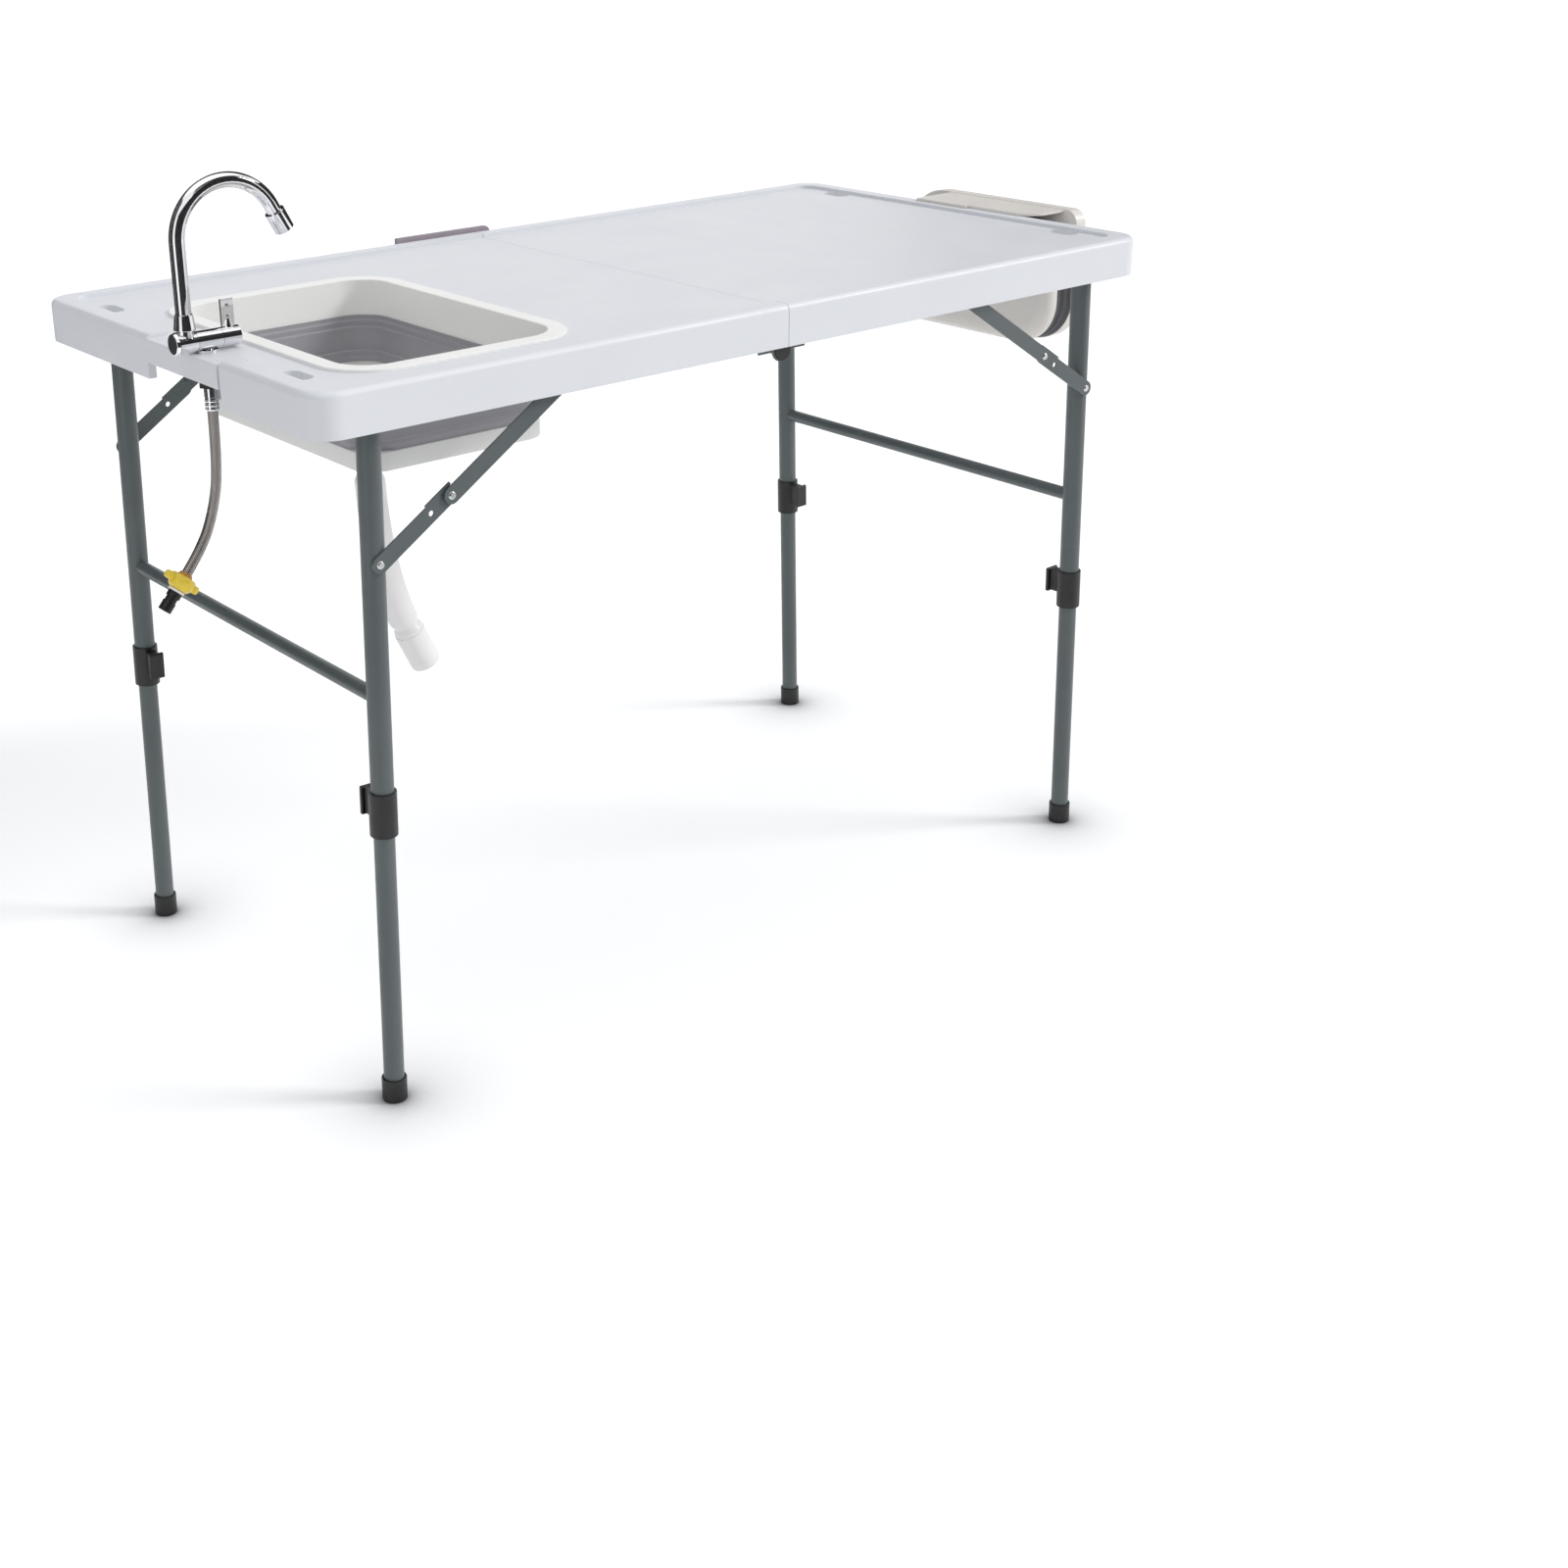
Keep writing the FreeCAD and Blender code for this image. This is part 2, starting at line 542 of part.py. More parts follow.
cross = "(cross_height - pivot_height)"
ends = [rod("cross_end_" + end, "z", ("0", y, cross + " - leg_radius * 2"), "leg_radius * 4",
            "leg_radius")
        for end, y in (("back", "leg_y"), ("front", "-leg_y"))]
cross_bar = frame_piece("cross_bar", cut("left_cross_bar",
                                         rod("cross_rod", "y", ("0", "-leg_y", cross), "leg_y * 2",
                                                               "cross_radius"), *ends))

# Clamp collars at the lower ends of the upper legs, with an ear for the cam lever.
low, high = "(collar_low - pivot_height)", "(collar_high - pivot_height)"
collar_ring = rod("collar_ring", "z", ("0", "leg_y", low), "%s - %s" % (high, low),
                  "leg_radius + collar_wall")
ear = block("collar_ear", ("-ear_width / 2", "ear_width / 2"), ("leg_y - ear_reach", "leg_y"),
            (high + " - ear_height - ear_inset", high + " - ear_inset"))
wide = rod("collar_wide", "z", ("0", "leg_y", leg_low), "%s - %s" % (high, leg_low), "leg_radius")
narrow = rod("collar_narrow", "z", ("0", "leg_y", low), "%s - %s" % (high, low), "leg_bore")
leg_collars = frame_piece("leg_collars", pair("left_leg_collars",
                                              cut("leg_collar", fuse("collar_body", collar_ring, ear),
                                                                      wide, narrow)))

# Domed rivets that hold the lower straps to the legs.
stem = rod("leg_rivet_stem", "y", ("0", "leg_y + leg_radius", "-brace_low"),
           "strap_gap + strap_gauge + running_gap", "rivet_radius")
dome = rod("leg_rivet_dome", "y", ("0", "strap_in + strap_gauge + running_gap", "-brace_low"),
           "rivet_dome - running_gap",
           "rivet_head", "rivet_radius")
leg_rivets = frame_piece("leg_rivets", pair("left_leg_rivets", fuse("leg_rivet", stem, dome)))

# Clips on the left pivot tube that grip the other frame's cross bar when the stand is packed.
sleeve = rod("clip_sleeve", "y", ("0", "clip_y", "0"), "clip_width", "pivot_radius + clip_wall")
claw = rod("clip_claw", "y", ("0", "clip_y", "-claw_drop"), "clip_width", "claw_radius + clip_wall")
mouth = block("clip_mouth", ("-claw_radius * %g" % mouth_share, "claw_radius * %g" % mouth_share),
              ("clip_y - clip_width", "clip_y + clip_width * 2"), ("-claw_drop * 2", "-claw_drop"))
hollow = rod("clip_hollow", "y", ("0", "clip_y - clip_width", "-claw_drop"), "clip_width * 3",
             "claw_radius")
shaft = rod("clip_shaft", "y", ("0", "clip_y - clip_width", "0"), "clip_width * 3", "pivot_radius")
tube_clips = frame_piece("tube_clips", pair("left_tube_clips",
                                            cut("tube_clip", fuse("clip_body", sleeve, claw),
                                                                   mouth, hollow, shaft)))


# Lower legs, feet and cam levers: each leg slides and each lever turns by itself.
def leg_set(place, way):
    y = "(leg_y * %d)" % way
    foot_radius = "(inner_leg_radius + foot_wall)"
    foot_low = "(%s * sin(lean) - leg_run)" % foot_radius
    inner = tube("inner_leg_" + place, "z", ("0", y, foot_low + " + foot_sole"),
                 "collar_low + leg_overlap - pivot_height - foot_sole - %s" % foot_low,
                 "inner_leg_radius",
                 "inner_leg_radius - tube_wall")
    cup = cut("foot_cup_" + place, rod("foot_skin_" + place, "z", ("0", y, foot_low), "foot_height",
                                       foot_radius),
              rod("foot_hole_" + place, "z", ("0", y, foot_low + " + foot_sole"), "foot_height",
                  "inner_leg_radius"))
    face = "(%s - ear_reach * %d)" % (y, way)
    near = sorted((face + " - lever_thickness * %d" % way, face + " - joint_gap * %d" % way), key=size)
    top = "(collar_high - pivot_height)"
    blade = block("lever_blade_" + place, ("-lever_width / 2", "lever_width / 2"), near,
                  (top + " - lever_length", top + " - lever_thickness"))
    cam = rod("lever_cam_" + place, "x", ("-lever_width / 2", "(%s + %s) / 2" % tuple(near),
                                          top + " - lever_thickness"),
              "lever_width", "(lever_thickness - joint_gap) / 2")
    return inner, cup, fuse("lever_" + place, blade, cam)


leg_nodes = {}
for place, way in (("back", 1), ("front", -1)):
    for kind, item in zip(("lower_leg", "foot", "cam_lever"), leg_set(place, way)):
        twins = frame_piece("%s_%s" % (place, kind), item)
        leg_nodes["left_%s_%s" % (place, kind)], leg_nodes["right_%s_%s" % (place, kind)] = twins

# Folding braces: two straps and the knuckle rivet between them, on the outer side of the legs.
lean = math.radians(size("lean"))
low_x = -size("pivot_x") - size("brace_low") * math.sin(lean)
low_z = size("pivot_height") - size("brace_low") * math.cos(lean)
top_x, top_z = -size("brace_top"), size("pivot_height")
brace_run = math.hypot(top_x - low_x, top_z - low_z)
tilt = math.atan2(top_z - low_z, top_x - low_x)


def strap(name, length, y, holes, tab=False):
    """A flat strap from a lower pin to an upper one, drawn level and tilted by its placement."""
    ends = [rod(name + "_end_low", "y", ("0", y, "0"), "strap_gauge", "strap_width / 2"),
            rod(name + "_end_top", "y", (length, y, "0"), "strap_gauge", "strap_width / 2"),
            block(name + "_blade", ("0", length), (y, y + " + strap_gauge"),
                  ("-strap_width / 2", "strap_width / 2"))]
    if tab:
        ends.append(block(name + "_tab", ("%s - stop_tab * 4" % length, "%s + stop_tab" % length),
                          (y, y + " + strap_gauge"),
                          ("strap_width / 2 - weld", "strap_width / 2 + tab_rise")))
    tools = [rod("%s_hole_%d" % (name, n), "y", (x, y + " - strap_gauge", "0"), "strap_gauge * 3", radius)
             for n, (x, radius) in enumerate(holes)]
    return cut(name, fuse(name + "_blank", *ends), *tools)


def brace_piece(name, item, along=0.0):
    """Seats a piece of the left brace pair, drawn at its lower pin, and its right-hand twin."""
    at = FreeCAD.Vector(low_x + along * math.cos(tilt) + size("shift_x"), size("shift_y"),
                        low_z + along * math.sin(tilt))
    item.Placement = FreeCAD.Placement(at, FreeCAD.Rotation(Y, -math.degrees(tilt)))
    return item, mirror("right_" + name, item, "x", "shift_x")


knuckle = size("knuckle_run")
low_strap = strap("low_strap", "knuckle_run", "strap_in", [("0", "rivet_radius + running_gap"),
                                                           ("knuckle_run - hole_run", "strap_hole")],
                  True)
lower_straps = brace_piece("lower_straps", pair("left_lower_straps", low_strap))
top_length = "(%r)" % (brace_run - knuckle)
top_strap = strap("top_strap", top_length, "strap_mid",
                  [("0", "rivet_radius"), (top_length, "rivet_radius")])
upper_straps = brace_piece("upper_straps", pair("left_upper_straps", top_strap), knuckle)
# The knuckle's rivet and its washer turn with the upper strap; the top rivet also runs through the rail.
knuckle_rivet = fuse("knuckle_rivet",
                     rod("knuckle_washer", "y", ("0", "strap_mid - strap_play + rivet_room", "0"),
                         "strap_play - rivet_room", "rivet_head"),
                     rod("knuckle_pin", "y", ("0", "strap_mid", "0"), "strap_gauge", "rivet_radius"),
                     rod("knuckle_cap", "y", ("0", "strap_mid + strap_gauge", "0"),
                         "strap_room - strap_gap", "rivet_head", "rivet_radius"))
top_rivet = fuse("top_rivet",
                 rod("top_pin", "y", (top_length, "strap_mid", "0"),
                     "rail_back + rail_play / 2 - strap_mid", "rivet_radius"),
                 rod("top_cap", "y", (top_length, "strap_mid - rivet_cap", "0"), "rivet_cap",
                     "rivet_head"))
knuckle_rivets = brace_piece("knuckle_rivets",
                             pair("left_knuckle_rivets", group("brace_rivets", knuckle_rivet,
                                     top_rivet)), knuckle)

# Storage clips under the right half, in two pairs.
clips = []
for n, (x, y) in enumerate([(a, b) for a in ("holder_inset",
                                             "holder_inset + holder_pitch") for b in ("-holder_spread",
                                                     "holder_spread")]):
    name = "store_clip_%d" % n
    centre = "(deck_low - holder_post - holder_radius)"
    post = block(name + "_post", (x + " - clip_wall", x + " + clip_wall"),
                 (y + " - clip_width / 2", y + " + clip_width / 2"),
                 (centre, "deck_low + pocket_depth / 2"))
    claw = rod(name + "_claw", "y", (x, y + " - clip_width / 2", centre), "clip_width",
               "holder_radius + clip_wall")
    hollow = rod(name + "_hollow", "y", (x, y + " - clip_width", centre), "clip_width * 2",
                 "holder_radius")
    mouth = block(name + "_mouth", ("%s - holder_radius * %g" % (x, mouth_share),
                                    "%s + holder_radius * %g" % (x, mouth_share)),
                  (y + " - clip_width", y + " + clip_width"), (centre + " - holder_radius * 2", centre))
    trim = block(name + "_trim", (x + " - clip_width", x + " + clip_width"),
                 (y + " - clip_width", y + " + clip_width"),
                 ("deck_low", "table_height"))
    clips.append(cut(name, fuse(name + "_blank", post, claw), hollow, mouth, trim))
storage_clips = seat(group("storage_clips", *clips))

# Carry handle under the front edge of the left half, and the bar on the back edge at the seam.
carry_handle = doc.addObject("PartDesign::Body", "carry_handle")
grip_x = ("handle_left", "-handle_start")
grip = rounded(sketch(carry_handle, "grip_outline", "XZ_Plane", "handle_y - handle_width / 2"), grip_x,
               ("handle_low", "deck_low"),
               ["handle_radius", "handle_radius", "weld", "weld"])
feature(carry_handle, "Pad", "grip", grip, "handle_width")
grip_hole = rounded(sketch(carry_handle, "grip_hole_outline", "XZ_Plane",
                           "handle_y - handle_width / 2 - overrun"),
                    ("handle_left + handle_foot", "-handle_start - handle_foot"),
                    ("handle_low + handle_bar", "deck_low + overrun"), "weld")
feature(carry_handle, "Pocket", "grip_hole", grip_hole, "handle_width + overrun * 2")
seat(carry_handle)

edge_bar = doc.addObject("PartDesign::Body", "back_edge_bar")
bar_round = "(bar_drop + bar_rise) * %g" % slim_share
profile = rounded(sketch(edge_bar, "edge_bar_outline", "XZ_Plane", "-side_y - bar_thickness"),
                  ("bar_start - bar_length", "bar_start"),
                  ("table_height - bar_drop", "table_height + bar_rise"),
                  ["seam_radius", bar_round, bar_round, "seam_radius"])
feature(edge_bar, "Pad", "edge_bar_pad", profile, "bar_thickness")
seat(edge_bar)


# Folding tap: a fixed body on the deck, a head that tips about the barrel and a swivelling spout.
def barrel(name, left, right, radius="barrel_radius"):
    return rod(name, "x", (left, "tap_y", "barrel_height"), "(%s) - (%s)" % (right, left), radius)


shank = rod("tap_shank", "z", ("shank_x", "tap_y", "shank_low"), "barrel_height - shank_low",
            "shank_radius")
tap_plate = rod("tap_plate", "z", ("shank_x", "tap_y", "field_top"), "plate_thickness", "plate_radius")
faucet_body = seat(fuse("faucet_body", barrel("tap_barrel", "head_right + joint_gap", "body_right"),
                        shank, tap_plate))
nut_blank = doc.addObject("Part::Prism", "tap_nut_blank")
nut_blank.Polygon = 6
bind(nut_blank, "Circumradius", "nut_radius")
bind(nut_blank, "Height", "nut_height")
for letter, base in zip("xyz", ("shank_x", "tap_y", "pad_bottom - nut_height")):
    bind(nut_blank, "Placement.Base." + letter, base)
nut_bore = rod("nut_bore", "z", ("shank_x", "tap_y", "pad_bottom - nut_height * 2"), "nut_height * 3",
               "shank_radius")
faucet_nut = seat(cut("faucet_nut", nut_blank, nut_bore))
head_boss = rod("head_boss", "z", ("riser_x", "tap_y", "barrel_height"), "boss_rise", "boss_radius")
flare = rod("head_flare", "x", ("head_left", "tap_y", "barrel_height"), "head_length", "cap_radius",
            "barrel_radius")
spout_head = seat(fuse("spout_head", flare, head_boss))
barrel_cap = seat(rod("barrel_cap", "x", ("0", "0", "0"), "cap_thickness", "cap_radius - cap_lip",
                      "cap_radius"),
                  ("head_left - cap_thickness", "tap_y", "barrel_height"), TURNS["x"])
cone = rod("spout_cone", "z", ("riser_x", "tap_y", "boss_top + joint_gap"), "cone_rise - joint_gap",
           "cone_low_radius",
           "cone_high_radius")
spout_collar = seat(cut("spout_collar", cone,
                        rod("cone_bore", "z", ("riser_x", "tap_y", "boss_top"), "cone_rise * 2",
                            "spout_radius")))

spout = doc.addObject("PartDesign::Body", "spout_tube")
path = sketch(spout, "spout_path", "XZ_Plane")
foot = FreeCAD.Vector(size("riser_x"), size("boss_top + joint_gap"), 0)
top = FreeCAD.Vector(size("riser_x"), size("arc_height"), 0)
hub = top + FreeCAD.Vector(size("arc_radius"), 0, 0)
end_angle = math.pi * (1 - size("arc_share"))
end = hub + FreeCAD.Vector(math.cos(end_angle), math.sin(end_angle), 0) * size("arc_radius")
aim = FreeCAD.Vector(math.sin(end_angle), -math.cos(end_angle), 0)
path.addGeometry(Part.LineSegment(foot, top))
path.addGeometry(Part.ArcOfCircle(Part.Circle(hub, Z, size("arc_radius")), end_angle, math.pi))
path.addGeometry(Part.LineSegment(end, end + aim * size("tip_run")))
path.addConstraint(Constraint("Vertical", 0))
path.addConstraint(Constraint("Tangent", 0, 2, 1, 2))
path.addConstraint(Constraint("Tangent", 1, 1, 2, 1))
drive(path, "DistanceX", (-1, 1, 0, 1), "riser_x")
drive(path, "DistanceY", (-1, 1, 0, 1), "boss_top + joint_gap")
drive(path, "DistanceY", (-1, 1, 0, 2), "arc_height")
drive(path, "Radius", (1,), "arc_radius")
drive(path, "Distance", (2,), "tip_run")
drive(path, "DistanceX", (-1, 1, 1, 1), "riser_x + arc_radius * (1 - cos(180 * arc_share))")
section = ring(sketch(spout, "spout_section", "XY_Plane", "boss_top + joint_gap"), "riser_x", "0",
               "spout_radius", "spout_bore")
sweep = spout.newObject("PartDesign::AdditivePipe", "spout_sweep")
sweep.Profile = section
sweep.Spine = path
seat(spout, ("0", "tap_y", "0"))
tip = end + aim * size("tip_run")

# The aerator's ring, seated along the direction of the spout's tip.
aerator = cut("aerator", rod("aerator_skin", "z", ("0", "0", "-aerator_length"), "aerator_length",
                             "aerator_radius"),
              rod("aerator_bore", "z", ("0", "0", "-aerator_length * 2"), "aerator_length * 3",
                  "spout_bore"))
aerator.Placement = FreeCAD.Placement(FreeCAD.Vector(tip.x + size("shift_x"), size("tap_y + shift_y"),
                                                     tip.y),
                                      FreeCAD.Rotation(Y, -math.degrees(math.atan2(aim.x, -aim.y))))

hub_middle = "((body_right + joint_gap + hub_right) / 2)"
blade_y = ("tap_y - paddle_gauge / 2", "tap_y + paddle_gauge / 2")
paddle = block("paddle", (hub_middle + " - paddle_width / 2", hub_middle + " + paddle_width / 2"),
               blade_y,
               ("barrel_height", "paddle_top"))
paddle_foot = rod("paddle_foot", "z", (hub_middle, "tap_y", "barrel_height"),
                  "paddle_root + barrel_radius", "paddle_root",
                  "paddle_gauge")
lever_handle = seat(fuse("lever_handle", barrel("handle_hub", "body_right + joint_gap", "hub_right"),
                         paddle, paddle_foot))


# Cords: straight runs joined by tangent arcs.
def route(points):
    """(the wire of a cord's route, its least arc radius)"""
    edges, start, radii = [], points[0], []
    for before, here, after in zip(points, points[1:], points[2:]):
        back, on = (before - here), (after - here)
        cut_back = run_share * min(back.Length, on.Length)
        half_turn = (math.pi - back.getAngle(on)) / 2
        radii.append(cut_back / math.tan(half_turn))
        first, last = here + back.normalize() * cut_back, here + on.normalize() * cut_back
        reach = radii[-1] / math.cos(half_turn) - radii[-1]
        middle = here + ((first + last) / 2 - here).normalize() * reach
        edges += [Part.makeLine(start, first), Part.Arc(first, middle, last).toShape()]
        start = last
    edges.append(Part.makeLine(start, points[-1]))
    return Part.Wire(edges), min(radii)


def cord(name, points, radius):
    """A round cord along a route."""
    wire, least = route(points)
    print(name, "least arc radius", round(least, 1), "diameter", 2 * radius)
    heading = wire.Edges[0].tangentAt(wire.Edges[0].FirstParameter)
    outline = Part.Wire(Part.makeCircle(radius, wire.Edges[0].Vertexes[0].Point, heading))
    item = doc.addObject("Part::Feature", name)
    item.Shape = wire.makePipeShell([outline], True, True)
    item.Placement.Base = FreeCAD.Vector(size("shift_x"), size("shift_y"), 0)
    return item


def aimed(item, at, direction):
    """Seats an item drawn along +Z at a point, turned to a direction."""
    at = at + FreeCAD.Vector(size("shift_x"), size("shift_y"), 0)
    item.Placement = FreeCAD.Placement(at, FreeCAD.Rotation(Z, direction))
    return item


# Points of the two hoses, counted from where each leaves its fitting.
INLET_ROUTE = [(0, 0, 0), (0, 0, -60), (-9, -1, -102), (-26, -2, -140), (-50, -3, -167)]
DRAIN_ROUTE = [(0, 0, 0), (0, 0, -75), (9, 0, -150), (26, 0, -217), (40, 0, -247)]

inlet_start = FreeCAD.Vector(size("shank_x"), size("tap_y"), size("shank_low - ferrule_length"))
inlet_points = [inlet_start + FreeCAD.Vector(*p) for p in INLET_ROUTE]
inlet_hose = cord("inlet_hose", inlet_points, size("braid_radius"))
hose_end = inlet_points[-1]
hose_aim = (hose_end - inlet_points[-2]).normalize()
inlet_ferrule = seat(rod("inlet_ferrule", "z", ("0", "0", "0"), "ferrule_length", "ferrule_radius"),
                     ("shank_x", "tap_y", "shank_low - ferrule_length"), TURNS["z"])
ear_low = "(ring_length - ear_length) / 2"
ears = [rod("nut_ear_" + side, "z", (way + "ear_out", "0", ear_low), "ear_length", "ear_radius")
        for side, way in (("near", "-"), ("far", ""))]
ears.append(block("nut_web", ("-ear_out", "ear_out"), ("-ear_web / 2", "ear_web / 2"),
                  (ear_low, ear_low + " + ear_length")))
wing_nut = aimed(cut("wing_nut", fuse("wing_nut_blank",
                                      rod("nut_ring", "z", ("0", "0", "0"), "ring_length",
                                          "ring_radius"), *ears),
                     rod("wing_bore", "z", ("0", "0", "-ring_length"), "ring_length * 3", "ring_bore")),
                 hose_end + hose_aim * size("joint_gap"), hose_aim)
sleeve_low = "ring_length + joint_gap * 2"
coupler = fuse("coupler_blank", rod("coupler_neck", "z", ("0", "0", "0"), sleeve_low,
                                    "ring_bore - running_gap"),
               rod("coupler_sleeve", "z", ("0", "0", sleeve_low), "waist_start", "coupler_radius"),
               rod("coupler_waist", "z", ("0", "0", sleeve_low), "coupler_length", "waist_radius"),
               rod("coupler_mouth", "z", ("0", "0", sleeve_low + " + waist_start + waist_length"),
                   "coupler_length - waist_start - waist_length", "mouth_radius"))
coupler_hole = rod("coupler_hole", "z", ("0", "0", sleeve_low + " + coupler_length / 2"),
                   "coupler_length", "coupler_bore")
quick_coupler = aimed(cut("quick_coupler", coupler, coupler_hole), hose_end, hose_aim)


# The collapsible sink: a rigid rim and collar, a soft ringed wall and a rigid base.
def ring_body(name, steps, cavity_steps):
    """A body made of stacked plates with cavities pocketed out of them."""
    body = doc.addObject("PartDesign::Body", name)
    for kind, entries in (("Pad", steps), ("Pocket", cavity_steps)):
        for n, (inset, low, high) in enumerate(entries):
            plate(body, "%s_%s_%d" % (name, kind.lower(), n),
                  ("sink_left + " + inset, "sink_right - (%s)" % inset),
                  ("sink_front + " + inset, "sink_back - (%s)" % inset), "sink_corner - (%s)" % inset,
                  low, high, kind)
    return body


sink_rim = ring_body("sink_rim", [("0", "field_top", "field_top + flange_thickness"),
                                  ("sink_fit", "collar_end", "field_top + weld")],
                     [("sink_fit + sink_wall", "collar_end - overrun",
                       "field_top + flange_thickness + overrun")])
fillet(sink_rim, "rolled_lip", "lip_round",
       lambda e: e.BoundBox.ZMin > size("field_top + flange_thickness") - 0.01)
seat(sink_rim)
folds = 2 * ring_count
steps, cavities = [], []
for n in range(folds):
    high, low = (between("collar_end", "soft_end", k / folds) for k in (n, n + 1))
    lean_in = "(sink_taper - wall_inset - ring_swell) * %g" % (n / (folds - 1))
    inset = "sink_fit + wall_inset + %s + ring_swell * %d" % (lean_in, n % 2)
    steps.append((inset, low, high))
    under = "- soft_wall * 2" if n == folds - 1 else "+ soft_wall * 0.6"
    cavities.append((inset + " + soft_wall", "%s %s" % (low, under), high + " + soft_wall * 0.6"))
sink_wall = seat(ring_body("sink_wall", steps, cavities))
sink_base = ring_body("sink_base", [("base_inset", "base_end", "soft_end")],
                      [("base_inset + sink_wall", "base_end + sink_wall", "soft_end + overrun")])
drill(sink_base, "drain_hole", "drain_x", "0", ["drain_radius"], "base_end - overrun", "soft_end")
seat(sink_base)

floor_z = "(base_end + sink_wall)"
flange = rod("drain_flange_piece", "z", ("drain_x", "0", floor_z), "sink_wall / 2", "drain_flange")
stub = rod("drain_stub_piece", "z", ("drain_x", "0", "base_end - drain_stub"), "drain_stub + sink_wall",
           "drain_radius - running_gap")
drain_bore = rod("drain_bore", "z", ("drain_x", "0", "base_end - drain_stub * 2"), "drain_stub * 4",
                 "drain_radius - sink_wall")
drain_fitting = seat(cut("drain_fitting", fuse("drain_blank", flange, stub), drain_bore))
plug_low = "(%s + sink_wall / 2 + joint_gap)" % floor_z
plug_stem = rod("plug_stem", "z", ("drain_x", "0", plug_low + " - drain_stub / 2"), "drain_stub / 2",
                "drain_radius - sink_wall - joint_gap * 2")
drain_plug = seat(fuse("drain_plug", plug_stem,
                       rod("plug_cap", "z", ("drain_x", "0", plug_low), "sink_wall",
                           "drain_radius + plug_lip"),
                       rod("plug_knob", "z", ("drain_x", "0", plug_low), "sink_wall * 4", "sink_wall")))

drain_start = FreeCAD.Vector(size("drain_x"), 0, size("base_end - drain_stub"))
drain_points = [drain_start + FreeCAD.Vector(*p) for p in DRAIN_ROUTE]
drain_hose = cord("drain_hose", drain_points, size("hose_radius"))
drain_aim = (drain_points[-1] - drain_points[-2]).normalize()
cuff_skin = rod("cuff_skin", "z", ("0", "0", "0"), "cuff_length", "hose_radius + cuff_step")
cuff_hole = rod("cuff_hole", "z", ("0", "0", "cuff_wall * 2"), "cuff_length",
                "hose_radius + cuff_step - cuff_wall")
drain_cuff = aimed(cut("drain_cuff", cuff_skin, cuff_hole), drain_points[-1], drain_aim)


# The second basin, hung by its hook on the plain end with its mouth facing outward.
def basin_body(name, plates, hollows):
    """A body made of plates across X; each entry is (how far it is let out, near, far)."""
    body = doc.addObject("PartDesign::Body", name)
    for kind, entries in (("Pad", plates), ("Pocket", hollows)):
        for n, (grow, near, far) in enumerate(entries):
            if grow is None:
                half, low, high = "(basin_half + lip_side)", "rim_low", "rim_high"
                low_corner = "basin_corner + lip_side"
                corner = [low_corner, low_corner, "basin_corner", "rim_corner"]
            else:
                half, low, high, corner = (word % grow for word in (
                    "(basin_half + (%s))", "basin_low - (%s)", "basin_high + (%s)",
                            "basin_corner + (%s)"))
            outline = rounded(sketch(body, "%s_%s_outline_%d" % (name, kind.lower(), n), "YZ_Plane",
                                     near),
                              ("-" + half, half), (low, high), corner)
            feature(body, kind, "%s_%s_%d" % (name, kind.lower(), n), outline,
                    "(%s) - (%s)" % (far, near))
    return body


second_basin_base = basin_body("second_basin_base", [("0", "basin_near", "tray_far")],
                               [("-basin_wall", "basin_near + basin_floor", "tray_far + overrun")])
for name, radius, near in (("tray_inside", "basin_round - basin_floor", "basin_near + basin_floor"),
                           ("tray_outside", "basin_round", "basin_near")):
    fillet(second_basin_base, "second_" + name, radius,
           lambda e: abs(e.BoundBox.XMin - size(near)) < 0.01 and e.BoundBox.XLength < 0.01)
seat(second_basin_base)
steps, cavities = [], []
for n in range(basin_ring_count):
    near, far = (between("tray_far", "soft_far", k / basin_ring_count) for k in (n, n + 1))
    grow = "basin_fold * %d" % (n % 2)
    steps.append((grow, near, far))
    cavities.append((grow + " - basin_wall", near, far))
second_basin_wall = seat(basin_body("second_basin_wall", steps, cavities))
rim = basin_body("second_basin_rim", [(None, "soft_far", "rim_far")],
                 [("-basin_wall", "soft_far - overrun", "rim_far + overrun")])
hook_low = "(table_height + joint_gap)"
hook_y = ("hook_offset - hook_width / 2", "hook_offset + hook_width / 2")
hook_round = "hook_thickness * %g" % edge_share
plate(rim, "rim_apron", ("end_x - apron_reach", "rim_far - overrun"), ("-apron_front", "apron_back"),
      ["apron_corner", "seam_radius", "seam_radius", "apron_corner"], hook_low,
      hook_low + " + hook_thickness")
plate(rim, "hook_plate", ("hook_x - hook_thickness / 2", "soft_far + basin_rim / 2"), hook_y, hook_round,
      hook_low,
      hook_low + " + hook_thickness")
plate(rim, "hook_lip", ("hook_x - hook_thickness / 2", "hook_x + hook_thickness / 2"), hook_y, hook_round,
      hook_low + " - hook_thickness * 4", hook_low + " + weld")
second_basin_rim = seat(rim)

